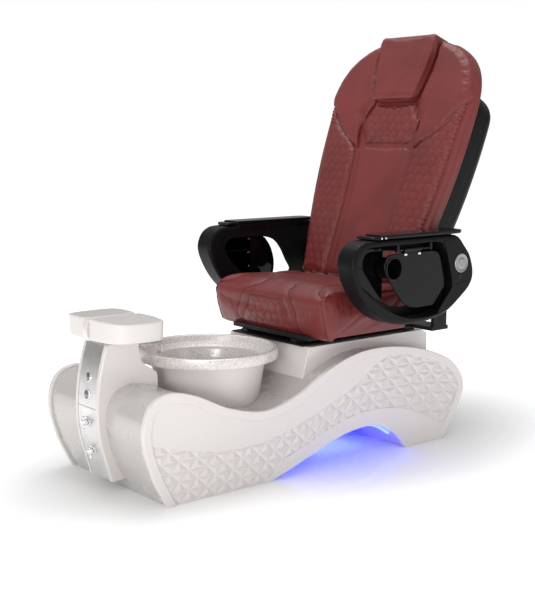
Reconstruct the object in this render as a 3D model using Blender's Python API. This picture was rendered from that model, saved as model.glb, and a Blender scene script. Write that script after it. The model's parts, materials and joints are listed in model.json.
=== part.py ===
"""Pedicure spa chair: a fibreglass base with a foot bowl, a control column and footrest, and a massage seat.

Metres, +Z up. The sitter faces -Y and +X is the sitter's left. The origin is on the floor at the middle of the
chair's box. Lengths along Y are given from the front foot of the side panels, and the empty "chair" shifts them.
"""
import math

import bmesh
import bpy
from mathutils import Matrix, Vector

# ---- driving dimensions -------------------------------------------------------------------------------------
ORIGIN_Y = 0.64394         # from the panels' front foot to the middle of the chair's box
GAP = 0.0003               # left between pieces that touch
WALL = 0.006               # moulded shells

PANEL_X = 0.280            # outer face of a side panel
BODY_X = 0.262             # half width of the base between the panels
BODY_DROP = 0.008          # how far the base lies under the panels' rim
BORDER = 0.029             # raised border of a side panel
BORDER_HEIGHT = 0.004

# side view (y, z) of the base: up the front, over the front lobe, down to the bowl, over the rear lobe
SIDE_POINTS = [(0.000, 0.000), (-0.052, 0.105), (-0.079, 0.215), (-0.056, 0.303), (0.013, 0.335),
               (0.105, 0.316), (0.230, 0.259), (0.370, 0.229), (0.504, 0.259), (0.631, 0.323),
               (0.760, 0.361), (0.904, 0.365), (1.070, 0.336), (1.215, 0.278), (1.283, 0.190),
               (1.250, 0.095), (1.181, 0.000)]
ARCH_POINTS = [(0.993, 0.000), (0.940, 0.055), (0.862, 0.097), (0.780, 0.106), (0.678, 0.091),
               (0.560, 0.054), (0.470, 0.024), (0.390, 0.000)]

COLUMN_X = 0.066           # half width of the control column
COLUMN_FRONT = [(-0.054, 0.036), (-0.073, 0.100), (-0.0895, 0.160), (-0.0975, 0.220), (-0.0975, 0.283),
                (-0.0895, 0.350), (-0.076, 0.410), (-0.062, 0.455)]
COLUMN_BACK = [(0.050, 0.455), (0.052, 0.412), (0.068, 0.382), (0.100, 0.359), (0.115, 0.340), (0.115, 0.250)]
COLUMN_TOP_Z = 0.455
PLATE_X = 0.050            # half width of the mirror plates
PLATE_DEPTH = 0.004
PLATE_SPLIT_Z = 0.262      # where the upper plate meets the lower one

BOWL_Y = 0.352
RIM_Z = 0.393
RIM_R = 0.228

PEDESTAL_X = 0.2066
PEDESTAL_TOP = 0.387
PEDESTAL_Y = (0.578, 0.606, 1.150, 1.165)   # front foot, front of the top, rear of the top, rear foot

SEAT_X = 0.288
SEAT_Y = (0.585, 0.962)
SEAT_Z = (0.4205, 0.567)
HINGE_Y, HINGE_Z = 1.030, 0.470             # recline axis

BACK_Y, BACK_Z = 0.980, 0.560               # foot of the back cushion's front plane
BACK_TILT = math.radians(21.0)
BACK_FRONT, BACK_REAR = -0.012, 0.085       # the cushion's front and rear, along the back's depth
SHELL_REAR = 0.160
SHELL_CROWN = 0.170        # height of the shell's round top over the shoulder

ARM_X = (0.329, 0.409)
ARM_PIVOT = (1.100, 0.644)
ARM_POINTS = [(0.605, 0.658), (0.616, 0.706), (0.646, 0.733), (0.690, 0.741), (0.800, 0.741),
              (0.920, 0.741), (1.040, 0.741), (1.090, 0.734), (1.122, 0.704), (1.150, 0.668),
              (1.168, 0.610), (1.152, 0.562), (1.100, 0.520), (1.040, 0.484), (0.970, 0.466),
              (0.890, 0.461), (0.810, 0.465), (0.740, 0.488), (0.680, 0.529), (0.632, 0.592)]
RECESS_POINTS = [(0.624, 0.660), (0.637, 0.698), (0.662, 0.717), (0.700, 0.722), (0.860, 0.722),
                 (0.985, 0.722), (1.016, 0.704), (1.046, 0.650), (1.062, 0.585), (1.044, 0.520),
                 (0.985, 0.484), (0.905, 0.478), (0.830, 0.488), (0.750, 0.522), (0.680, 0.566),
                 (0.640, 0.606)]
WINDOW_POINTS = [(0.676, 0.662), (0.690, 0.690), (0.730, 0.698), (0.800, 0.698), (0.860, 0.694),
                 (0.905, 0.680), (0.938, 0.646), (0.962, 0.603), (0.985, 0.560), (0.960, 0.520),
                 (0.900, 0.508), (0.830, 0.520), (0.760, 0.565), (0.700, 0.618)]
FLANGE_X = 0.337           # outer side of the arm's inner flange

TRAY_X = (0.386, 0.392)
TRAY_AXIS = (0.389, 0.703)                  # x, z of the tray's hinge
TRAY_POINTS = [(0.760, 0.640), (0.762, 0.672), (0.785, 0.691), (0.850, 0.692), (0.930, 0.692),
               (0.994, 0.690), (1.020, 0.670), (1.040, 0.638), (1.052, 0.590), (1.044, 0.540),
               (1.014, 0.514), (0.950, 0.510), (0.890, 0.512), (0.848, 0.530), (0.800, 0.582)]
CUP = (0.800, 0.645)
CUP_R = 0.033
RIGHT_TRAY_SHIFT = -0.100  # the right tray sits further forward on its rod

FOOTREST_Z = (0.466, 0.527)
FOOTREST_POINTS = [(0.0125, -0.092), (0.080, -0.090), (0.125, -0.077), (0.150, -0.045), (0.158, 0.005),
                   (0.156, 0.055), (0.145, 0.080), (0.118, 0.088), (0.0125, 0.088)]

JET_Z, DRAIN_Z = 0.352, 0.300               # push buttons on the upper plate
HOT_Z, COLD_Z = 0.217, 0.126                # levers on the lower plate


# ---- modelling helpers --------------------------------------------------------------------------------------
def clear_scene():
    for old in list(bpy.data.objects):
        bpy.data.objects.remove(old, do_unlink=True)


def material(name, colour, roughness, metallic=0.0):
    mat = bpy.data.materials.new(name)
    mat.use_nodes = True
    shader = mat.node_tree.nodes["Principled BSDF"]
    shader.inputs["Base Color"].default_value = (*colour, 1.0)
    shader.inputs["Roughness"].default_value = roughness
    shader.inputs["Metallic"].default_value = metallic
    return mat


def spline(points, steps, closed=False):
    """A smooth line through the points (Catmull-Rom), with so many steps from one point to the next."""
    count = len(points)
    line = []
    for i in range(count if closed else count - 1):
        if closed:
            a, b, c, d = (Vector(points[(i + k) % count]) for k in (-1, 0, 1, 2))
        else:
            a, b, c, d = (Vector(points[min(max(i + k, 0), count - 1)]) for k in (-1, 0, 1, 2))
        for step in range(steps):
            t = step / steps
            line.append(tuple(0.5 * (2 * b + (c - a) * t + (2 * a - 5 * b + 4 * c - d) * t * t
                                     + (3 * b - a - 3 * c + d) * t ** 3)))
    if not closed:
        line.append(tuple(points[-1]))
    return line


def offset(line, distance):
    """An open line moved sideways, to its right as it runs."""
    moved = []
    for i, point in enumerate(line):
        before = Vector(line[max(i - 1, 0)])
        after = Vector(line[min(i + 1, len(line) - 1)])
        along = (after - before).normalized()
        moved.append(tuple(Vector(point) + distance * Vector((along.y, -along.x))))
    return moved


def height_on(line, y):
    """Height of the upper side of a (y, z) line at y."""
    heights = [a[1] + (b[1] - a[1]) * (y - a[0]) / (b[0] - a[0])
               for a, b in zip(line, line[1:]) if a[0] <= y < b[0]]
    return max(heights)


def mirrored(outline):
    return [(-x, y) for x, y in outline]


def add(name, mesh, mat, parent):
    part = bpy.data.objects.new(name, mesh)
    bpy.context.scene.collection.objects.link(part)
    if mat:
        part.data.materials.append(mat)
    part.parent = parent
    mesh.shade_smooth()
    mesh.set_sharp_from_angle(angle=math.radians(35))
    return part


def finish_mesh(name, bm):
    bmesh.ops.recalc_face_normals(bm, faces=bm.faces)
    mesh = bpy.data.meshes.new(name)
    bm.to_mesh(mesh)
    bm.free()
    return mesh


def prism(name, outline, lo, hi, axis, mat=None, parent=None, bevel=0.0, segments=2):
    """A flat outline pulled along one axis: outlines are (y, z) for X, (x, z) for Y and (x, y) for Z."""
    place = {"X": lambda p, d: (d, p[0], p[1]), "Y": lambda p, d: (p[0], d, p[1]),
             "Z": lambda p, d: (p[0], p[1], d)}[axis]
    bm = bmesh.new()
    low = [bm.verts.new(place(p, lo)) for p in outline]
    high = [bm.verts.new(place(p, hi)) for p in outline]
    bm.faces.new(low)
    bm.faces.new(high)
    for i in range(len(outline)):
        j = (i + 1) % len(outline)
        bm.faces.new((low[i], low[j], high[j], high[i]))
    part = add(name, finish_mesh(name, bm), mat, parent)
    if bevel:
        rounding = part.modifiers.new("Bevel", "BEVEL")
        rounding.width = bevel
        rounding.segments = segments
        rounding.limit_method = "ANGLE"
        rounding.angle_limit = math.radians(40)
    return part


def box(name, x, y, z, mat=None, parent=None, bevel=0.0, segments=2):
    """A box between pairs of x, y and z."""
    corners = [(x[0], y[0]), (x[1], y[0]), (x[1], y[1]), (x[0], y[1])]
    return prism(name, corners, z[0], z[1], "Z", mat, parent, bevel, segments)


def rod(name, radius, start, direction, length, mat=None, parent=None, sides=16):
    """A cylinder from a start point along a direction."""
    bm = bmesh.new()
    turn = Vector(direction).to_track_quat("Z", "Y").to_matrix().to_4x4()
    middle = Vector(start) + Vector(direction).normalized() * length / 2
    bmesh.ops.create_cone(bm, cap_ends=True, segments=sides, radius1=radius, radius2=radius, depth=length,
                          matrix=Matrix.Translation(middle) @ turn)
    return add(name, finish_mesh(name, bm), mat, parent)


def turned(name, profile, centre, mat=None, parent=None, sides=40):
    """A closed (radius, z) profile turned round a vertical axis through the centre (x, y)."""
    bm = bmesh.new()
    rings = []
    for radius, z in profile:
        if radius == 0.0:
            rings.append([bm.verts.new((centre[0], centre[1], z))] * sides)
            continue
        turn = [2 * math.pi * k / sides for k in range(sides)]
        rings.append([bm.verts.new((centre[0] + radius * math.cos(a), centre[1] + radius * math.sin(a), z))
                      for a in turn])
    for one, two in zip(rings, rings[1:] + rings[:1]):
        for k in range(sides):
            corners = [one[k], one[(k + 1) % sides], two[(k + 1) % sides], two[k]]
            corners = list(dict.fromkeys(corners))
            if len(corners) > 2:
                bm.faces.new(corners)
    return add(name, finish_mesh(name, bm), mat, parent)


def boolean(part, other, operation):
    other.hide_render = True
    other.display_type = "WIRE"
    change = part.modifiers.new(operation.title(), "BOOLEAN")
    change.operation = operation
    change.solver = "EXACT"
    change.object = other


def cut(part, *cutters):
    for cutter in cutters:
        boolean(part, cutter, "DIFFERENCE")


def join(part, *others):
    for other in others:
        boolean(part, other, "UNION")


def empty(name, location, parent, tilt=0.0):
    """A joint's axis or a frame of reference, given in the chair's own coordinates."""
    point = bpy.data.objects.new(name, None)
    bpy.context.scene.collection.objects.link(point)
    point.parent = parent
    point.location = location
    point.rotation_euler = (-tilt, 0.0, 0.0)
    return point


def carried(axis, *parts):
    """Parts drawn in the chair's coordinates ride on an axis that stands at a point in those coordinates."""
    for part in parts:
        part.parent = axis
        part.matrix_parent_inverse = Matrix.Translation(-axis.location)


# ---- base ---------------------------------------------------------------------------------------------------
def base_lines():
    side = spline(SIDE_POINTS, 3)
    arch = spline(ARCH_POINTS, 2)
    body = offset(side, BODY_DROP)
    body[0] = (body[0][0], 0.0)
    body[-1] = (body[-1][0], 0.0)
    return side, arch, body


def column_outline(grow=0.0):
    front = offset(spline(COLUMN_FRONT, 2), -grow)
    back = offset(spline(COLUMN_BACK, 2), -grow)
    low_y, low_z = front[0]
    top = COLUMN_TOP_Z + grow
    front[-1] = (front[-1][0], top)
    back[0] = (back[0][0], top)
    return front + back + [(0.02, low_z - grow), (low_y, low_z - grow)]


def make_base_shell(chair, mat, body, arch):
    shell = prism("base_shell", body + arch, -BODY_X, BODY_X, "X", mat, chair)
    inner_top = offset(body, WALL)
    inner_top[0] = (inner_top[0][0], -0.02)
    inner_top[-1] = (inner_top[-1][0], -0.02)
    inner_arch = offset(arch, WALL)
    inner_arch[0] = (inner_arch[0][0], -0.02)
    inner_arch[-1] = (inner_arch[-1][0], -0.02)
    hollow = prism("base_hollow", inner_top + inner_arch, -BODY_X + WALL, BODY_X - WALL, "X", None, chair)
    slot = prism("column_slot", column_outline(GAP), -COLUMN_X - GAP, COLUMN_X + GAP, "X", None, chair)
    mouth = turned("bowl_mouth", [(0.0, 0.13)] + bowl_outside(GAP)[1:-2] + [(0.19, 0.45), (0.0, 0.45)],
                   (0.0, BOWL_Y), None, chair)
    cut(shell, hollow, slot, mouth)
    return shell


def make_side_panels(chair, mat, side, arch):
    inner = offset(side, BORDER)
    inner[0] = (inner[0][0] + 0.01, -0.02)
    inner[-1] = (inner[-1][0] - 0.01, -0.02)
    for name, sign in (("left", 1), ("right", -1)):
        lo, hi = sorted((sign * (BODY_X + GAP), sign * PANEL_X))
        panel = prism(f"side_panel_{name}", side + arch, lo, hi, "X", mat, chair, bevel=0.003, segments=1)
        lo, hi = sorted((sign * (PANEL_X - BORDER_HEIGHT), sign * (PANEL_X + 0.02)))
        cut(panel, prism(f"field_{name}", inner, lo, hi, "X", None, chair))


def make_led_strips(chair, mat, arch):
    middle = [p for p in arch if p[1] > 0.03]
    strip = offset(middle, -0.0008) + offset(middle, -0.006)[::-1]
    for name, sign in (("left", 1), ("right", -1)):
        lo, hi = sorted((sign * 0.236, sign * 0.250))
        prism(f"led_strip_{name}", strip, lo, hi, "X", mat, chair)


def make_pedestal(chair, mat, body):
    front, top_front, top_rear, rear = PEDESTAL_Y
    between = [p for p in body if front < p[0] < rear and p[1] > 0.2]
    foot = [(front, height_on(body, front))] + between + [(rear, height_on(body, rear))]
    foot = [(y, z + GAP) for y, z in foot]
    crown = [(rear, 0.360), (top_rear, PEDESTAL_TOP), (top_front, PEDESTAL_TOP)]
    cover = prism("pedestal_cover", foot + crown, -PEDESTAL_X, PEDESTAL_X, "X", mat, chair, 0.006)
    inside = [(front + 0.012, 0.2), (rear - WALL, 0.2), (rear - WALL, 0.355),
              (top_rear - WALL, PEDESTAL_TOP - WALL), (top_front + WALL, PEDESTAL_TOP - WALL)]
    cut(cover, prism("pedestal_hollow", inside, WALL - PEDESTAL_X, PEDESTAL_X - WALL, "X", None, chair))


def make_base_frame(chair, steel, rubber):
    """Steel frame inside the base, standing on four levelling feet."""
    beam = 0.025
    low, high = 0.125, 0.150
    y_front, y_rear, x_mid = 0.152, 1.080, 0.210
    rail = (x_mid - beam / 2, x_mid + beam / 2)
    frame = box("base_frame", rail, (y_front - beam / 2, y_rear + beam / 2), (low, high), steel, chair)
    join(frame, box("frame_rail_right", (-rail[1], -rail[0]), (y_front - beam / 2, y_rear + beam / 2),
                    (low, high), None, chair))
    for number, y in enumerate((y_front, y_rear)):
        join(frame, box(f"frame_cross_{number}", (-x_mid, x_mid), (y - 0.010, y + 0.010),
                        (low + 0.002, high - 0.002), None, chair))
    for number, (side, y) in enumerate(((1, y_front), (-1, y_front), (1, y_rear), (-1, y_rear))):
        x = side * x_mid
        join(frame, box(f"frame_leg_{number}", (x - 0.009, x + 0.009), (y - 0.009, y + 0.009),
                        (0.030 + GAP, low + 0.010), None, chair))
        turned(f"levelling_foot_{number + 1}",
               [(0.0, 0.0), (0.024, 0.0), (0.024, 0.008), (0.008, 0.012), (0.008, 0.030), (0.0, 0.030)],
               (x, y), rubber, chair, 16)


def make_power_inlet(chair, mat, shell):
    """Mains inlet low on the rear of the base, square to the sloping surface."""
    point = Vector((0.0, 1.2160, 0.062))
    turn = Matrix.Rotation(math.radians(-36), 4, "X")
    inlet = box("power_inlet", (-0.025, 0.025), (-0.020, 0.002), (-0.015, 0.015), mat, chair)
    hole = box("inlet_hole", (-0.0254, 0.0254), (-0.030, 0.040), (-0.0154, 0.0154), None, chair)
    for piece in (inlet, hole):
        piece.matrix_local = Matrix.Translation(point) @ turn
    cut(shell, hole)


# ---- bowl ---------------------------------------------------------------------------------------------------
def bowl_outside(grow=0.0):
    """The bowl's outer profile from the bottom up to under the rim band."""
    return [(0.0, 0.130 - grow), (0.095 + grow, 0.130 - grow), (0.128 + grow, 0.145), (0.150 + grow, 0.180),
            (0.166 + grow, 0.225), (0.177 + grow, 0.290), (0.186 + grow, 0.350), (0.206 + grow, 0.357)]


def make_bowl(chair, shell_mat, chrome, plastic):
    rim = [(0.222, 0.359), (RIM_R, 0.366), (RIM_R, 0.385), (0.224, RIM_Z), (0.216, RIM_Z), (0.210, 0.386)]
    inside = [(0.196, 0.366), (0.180, 0.350), (0.171, 0.290), (0.160, 0.225), (0.144, 0.182),
              (0.124, 0.152), (0.092, 0.138), (0.0, 0.137)]
    bowl = turned("foot_bowl", bowl_outside() + rim + inside, (0.0, BOWL_Y), shell_mat, chair)
    cut(bowl, rod("drain_hole", 0.0185, (0.0, BOWL_Y, 0.10), (0, 0, 1), 0.08, None, chair))
    drain = [(0.0, 0.085), (0.018, 0.085), (0.018, 0.1385), (0.030, 0.1385), (0.030, 0.142), (0.0, 0.143)]
    turned("bowl_drain", drain, (0.0, BOWL_Y), chrome, chair, 20)
    slope = math.radians(19)
    aim = Vector((math.cos(slope) * math.sqrt(0.5), -math.cos(slope) * math.sqrt(0.5), -math.sin(slope)))
    wall = Vector((0.0, BOWL_Y, 0.205)) + Vector((aim.x, aim.y, 0.0)).normalized() * 0.150
    rod("jet_cover", 0.032, wall - 0.008 * aim, -aim, 0.008, plastic, chair)
    rod("jet_motor", 0.036, wall + 0.016 * aim, aim, 0.070, plastic, chair)


# ---- control column and footrest ----------------------------------------------------------------------------
def column_front_at(z):
    """Depth of the column's front at a height, and its slope."""
    front = spline(COLUMN_FRONT, 2)
    for low, high in zip(front, front[1:]):
        if low[1] <= z <= high[1]:
            slope = (high[0] - low[0]) / (high[1] - low[1])
            return low[0] + slope * (z - low[1]), slope
    return front[-1][0], 0.0


def outward_at(z):
    """A point on the mirror plates at a height, and the direction out of them."""
    y, slope = column_front_at(z)
    return Vector((0.0, y + PLATE_DEPTH, z)), Vector((0.0, -1.0, slope)).normalized()


def make_column(chair, white, mirror, chrome):
    column = prism("column_shell", column_outline(), -COLUMN_X, COLUMN_X, "X", white, chair)
    front = spline(COLUMN_FRONT, 2)
    inner = offset(front, 0.010)
    inner[0] = (inner[0][0], -0.01)
    inner[-1] = (inner[-1][0], COLUMN_TOP_Z - 0.007)
    inner_back = offset(spline(COLUMN_BACK, 2), 0.007)
    inner_back[0] = (inner_back[0][0], COLUMN_TOP_Z - 0.007)
    inner_back[-1] = (inner_back[-1][0], -0.01)
    room = inner + inner_back
    cut(column, prism("column_room", room, 0.008 - COLUMN_X, COLUMN_X - 0.008, "X", None, chair))
    groove_rear = offset(front, PLATE_DEPTH)[::-1]
    groove = [(-0.10, 0.0)] + offset(front, -0.03) + groove_rear + [(groove_rear[-1][0], 0.0)]
    cut(column, prism("plate_groove", groove, -PLATE_X - GAP, PLATE_X + GAP, "X", None, chair))
    cut(column, box("post_hole", (-0.0235, 0.0235), (-0.0125, 0.0365), (0.40, 0.50), None, chair))
    lines = {"control_plate_upper": (PLATE_SPLIT_Z + 0.001, COLUMN_TOP_Z - 0.003),
             "control_plate_lower": (0.040, PLATE_SPLIT_Z)}
    plates = {}
    for name, (low, high) in lines.items():
        heights = [low + (high - low) * k / 8 for k in range(9)]
        face = [(column_front_at(z)[0] + 0.0012, z) for z in heights]
        rear = [(column_front_at(z)[0] + PLATE_DEPTH - 0.0006, z) for z in heights]
        plates[name] = prism(name, face + rear[::-1], -PLATE_X, PLATE_X, "X", mirror, chair)
    for name, z, radius in (("jet", JET_Z, 0.0125), ("drain", DRAIN_Z, 0.0145),
                            ("hot", HOT_Z, 0.007), ("cold", COLD_Z, 0.007)):
        point, out = outward_at(z)
        hole = rod(f"{name}_hole", radius, point - 0.03 * out, out, 0.06, None, chair, 20)
        cut(column, hole)
        cut(plates["control_plate_upper" if z > PLATE_SPLIT_Z else "control_plate_lower"], hole)
    spout = rod("filler_spout", 0.011, (0.0, 0.0524, 0.430), (0, 1, 0), 0.112, chrome, chair)
    join(spout, rod("spout_nozzle", 0.0105, (0.0, 0.158, 0.436), (0, 0.25, -1), 0.040, None, chair))


def make_controls(chair, chrome, brass):
    """Two push buttons that travel into the column, and two quarter-turn levers with valves behind them."""
    for name, z, radius in (("jet", JET_Z, 0.0120), ("drain", DRAIN_Z, 0.0140)):
        point, out = outward_at(z)
        axis = empty(f"{name}_axis", point, chair)
        button = rod(f"{name}_button", radius, point - 0.012 * out, out, 0.0155, chrome, chair, 20)
        dome = rod(f"{name}_dome", radius * 0.72, point + 0.002 * out, out, 0.0045, None, chair, 20)
        join(button, dome)
        carried(axis, button, dome)
    for name, z in (("hot", HOT_Z), ("cold", COLD_Z)):
        point, out = outward_at(z)
        across = Vector((1.0, 0.0, 0.0))
        axis = empty(f"{name}_axis", point, chair)
        lever = rod(f"{name}_lever", 0.0065, point - 0.0105 * out, out, 0.030, chrome, chair)
        hub = rod(f"{name}_hub", 0.0105, point + 0.004 * out, out, 0.010, None, chair)
        bar = rod(f"{name}_bar", 0.0042, point + 0.014 * out - 0.018 * across, across, 0.036, None, chair, 12)
        up = out.cross(across)
        post = rod(f"{name}_post", 0.0038, point + 0.014 * out - 0.015 * up, up, 0.030, None, chair, 12)
        join(lever, hub, bar, post)
        carried(axis, lever, hub, bar, post)
        rod(f"{name}_valve", 0.014, point - 0.011 * out, -out, 0.034, brass, chair, 6)


def make_footrest(chair, white, steel):
    axis = empty("footrest_axis", (0.0, 0.020, COLUMN_TOP_Z), chair)
    low, high = FOOTREST_Z
    rib_side = [(-0.092, low - 0.004), (-0.100, low + 0.020), (-0.098, high - 0.010), (-0.084, high + 0.005),
                (0.070, high + 0.004), (0.088, high - 0.006), (0.090, low - 0.004)]
    rib = prism("footrest_rib", rib_side, -0.012, 0.012, "X", white, chair, 0.002, 1)
    post = box("footrest_post", (-0.022, 0.022), (-0.011, 0.035), (0.270, low - 0.004 - GAP), steel, chair)
    carried(axis, rib, post)
    plan = spline(FOOTREST_POINTS, 2)
    for name, outline in (("left", plan), ("right", mirrored(plan))):
        pad = prism(f"footrest_pad_{name}", outline, low, high, "Z", white, chair, 0.012, 2)
        carried(axis, pad)


# ---- seat ---------------------------------------------------------------------------------------------------
def make_rails(chair, steel, black):
    y = (0.605, 1.120)
    box("rail_cover_plate", (-0.186, 0.186), (y[0] - 0.008, y[1]), (PEDESTAL_TOP + GAP, 0.3923), black, chair)
    for name, sign in (("left", 1), ("right", -1)):
        lo, hi = sorted((sign * 0.115, sign * 0.145))
        box(f"seat_rail_{name}", (lo, hi), y, (0.3926, 0.4046), steel, chair)
    box("slide_actuator", (-0.045, 0.045), (0.740, 0.980), (0.3926, 0.4040), steel, chair, 0.003, 1)


def make_seat(chair, steel, black, leather):
    axis = empty("seat_axis", (0.0, 0.860, 0.4046), chair)
    low, high = 0.4049, 0.4200
    frame = box("seat_frame", (-0.200, 0.200), (0.612, 1.075), (low, high), steel, chair)
    beam = box("seat_beam", (-0.325, 0.325), (1.060, 1.140), (low + 0.001, high - 0.001), None, chair)
    join(frame, beam)
    for number, sign in enumerate((1, -1)):
        lo, hi = sorted((sign * 0.311, sign * 0.325))
        upright = box(f"arm_upright_{number}", (lo, hi), (1.068, 1.132), (low + 0.002, 0.664), None, chair)
        lo, hi = sorted((sign * 0.155, sign * 0.167))
        lug = box(f"seat_lug_{number}", (lo, hi), (1.005, 1.058), (low + 0.002, 0.495), None, chair)
        join(frame, upright, lug)
        bore = rod(f"upright_bore_{number}", 0.0125, (sign * 0.30, *ARM_PIVOT), (sign, 0, 0), 0.04, None, chair)
        cut(frame, bore)
        carried(axis, upright, lug, bore)
    motor = rod("recline_motor", 0.030, (-0.112, HINGE_Y, HINGE_Z), (1, 0, 0), 0.224, black, chair, 20)
    cushion = box("seat_cushion", (-SEAT_X, SEAT_X), SEAT_Y, SEAT_Z, leather, chair, 0.030, 3)
    carried(axis, frame, beam, motor, cushion)


# ---- back ---------------------------------------------------------------------------------------------------
def back_half_width(height):
    """Half width of the back cushion at a height along the back: a slow flare, then a full round top."""
    flare, shoulder, crown = 0.262, 0.620, 0.285
    if height < shoulder:
        return flare + (0.357 - flare) * math.sin(math.pi / 2 * (height / shoulder) ** 0.85)
    return 0.357 * max(0.0, 1.0 - ((height - shoulder) / crown) ** 2.7) ** (1 / 2.7)


def back_outline(inset=0.0, foot=0.0, crown=0.285, steps=14):
    """Outline of a back panel: the flare up to the shoulder, then a round top of the given height."""
    shoulder = 0.620
    right = []
    for k in range(7):
        height = foot + (shoulder - foot) * k / 7
        right.append((back_half_width(max(height, 0.0)) - inset, height))
    for k in range(steps):
        rise = math.sin(math.pi / 2 * k / steps)
        right.append((back_half_width(shoulder + 0.285 * rise) - inset, shoulder + crown * rise))
    return right + [(0.0, shoulder + crown)] + [(-x, h) for x, h in reversed(right)]


def make_back(chair, steel, black, leather, rubber):
    hinge = empty("back_hinge", (0.0, HINGE_Y, HINGE_Z), chair)
    plane = empty("back_plane", (0.0, BACK_Y - HINGE_Y, BACK_Z - HINGE_Z), hinge, BACK_TILT)

    cushion = prism("back_cushion", back_outline(), BACK_FRONT, BACK_REAR, "Y", leather, plane, 0.022, 2)
    channel = [(-0.078, 0.08), (0.078, 0.08), (0.078, 0.70), (-0.078, 0.70)]
    cut(cushion, prism("roller_channel", channel, 0.062, 0.10, "Y", None, plane))
    pad = [(-0.100, 0.662), (0.100, 0.662), (0.122, 0.780), (0.140, 0.890), (0.122, 0.908),
           (-0.122, 0.908), (-0.140, 0.890), (-0.122, 0.780)]
    prism("headrest_pad", pad, -0.046, BACK_FRONT - 0.0015, "Y", leather, plane, 0.008, 2)

    shell = prism("back_shell", back_outline(0.020, 0.03, SHELL_CROWN), BACK_REAR + GAP, SHELL_REAR, "Y",
                  black, plane, 0.045, 3)
    tub = prism("shell_room", back_outline(0.026, -0.03, SHELL_CROWN - WALL), BACK_REAR - 0.05,
                SHELL_REAR - WALL, "Y", None, plane, 0.040, 3)
    cut(shell, tub)
    hatch = [(-0.150, 0.200), (0.150, 0.200), (0.190, 0.450), (0.185, 0.580), (0.140, 0.660),
             (-0.140, 0.660), (-0.185, 0.580), (-0.190, 0.450)]
    prism("back_rear_cover", hatch, SHELL_REAR + GAP, SHELL_REAR + 0.009, "Y", black, plane, 0.004, 1)

    tube = (0.089, 0.107)
    frame = box("back_frame", (0.190, 0.208), tube, (0.04, 0.74), steel, plane)
    join(frame, box("frame_side", (-0.208, -0.190), tube, (0.04, 0.74), None, plane))
    for number, s in enumerate((0.05, 0.715)):
        join(frame, box(f"frame_bar_{number}", (-0.200, 0.200), (0.090, 0.106), (s, s + 0.02), None, plane))
    pivot = Matrix.Rotation(BACK_TILT, 3, "X") @ Vector((0, HINGE_Y - BACK_Y, HINGE_Z - BACK_Z))
    for number, sign in enumerate((1, -1)):
        lo, hi = sorted((sign * 0.1135, sign * 0.1255))
        knee = [(pivot.y - 0.018, pivot.z - 0.018), (0.1065, pivot.z - 0.018), (0.1065, 0.066),
                (0.0890, 0.066), (0.0890, -0.006), (pivot.y - 0.018, -0.006)]
        arm = prism(f"recline_arm_{number}", knee, lo, hi, "X", None, plane)
        stub = rod(f"recline_stub_{number}", 0.012, (sign * 0.114, pivot.y, pivot.z), (sign, 0, 0), 0.040, None,
                   plane)
        join(frame, arm, stub)
    make_massage(plane, steel, rubber)


def make_massage(plane, steel, rubber):
    """Rails behind the cushion, with a carriage that climbs them and carries a shaft with two eccentric wheels."""
    for name, sign in (("left", 1), ("right", -1)):
        lo, hi = sorted((sign * 0.0925, sign * 0.1105))
        box(f"massage_rail_{name}", (lo, hi), (0.108, 0.128), (0.0715, 0.714), steel, plane)
    centre = (0.098, 0.300)
    axis = empty("carriage_axis", (0.0, centre[0], centre[1]), plane)
    carriage = box("massage_carriage", (-0.118, 0.118), (0.1295, 0.141), (0.255, 0.345), steel, plane)
    for number, sign in enumerate((1, -1)):
        lo, hi = sorted((sign * 0.080, sign * 0.090))
        cheek = box(f"carriage_cheek_{number}", (lo, hi), (0.088, 0.132), (0.280, 0.320), None, plane)
        join(carriage, cheek)
        carried(axis, cheek)
    shaft = rod("kneading_shaft", 0.007, (-0.0790, *centre), (1, 0, 0), 0.158, steel, plane)
    carried(axis, carriage, shaft)
    for name, sign in (("left", 1), ("right", -1)):
        lo = min(sign * 0.036, sign * 0.062)
        wheel = rod(f"kneading_wheel_{name}", 0.022, (lo, centre[0], centre[1] + sign * 0.007), (1, 0, 0), 0.026,
                    rubber, plane, 24)
        bore = rod(f"wheel_bore_{name}", 0.0075, (lo - 0.01, *centre), (1, 0, 0), 0.05, None, plane)
        cut(wheel, bore)
        carried(axis, wheel, bore)


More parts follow.
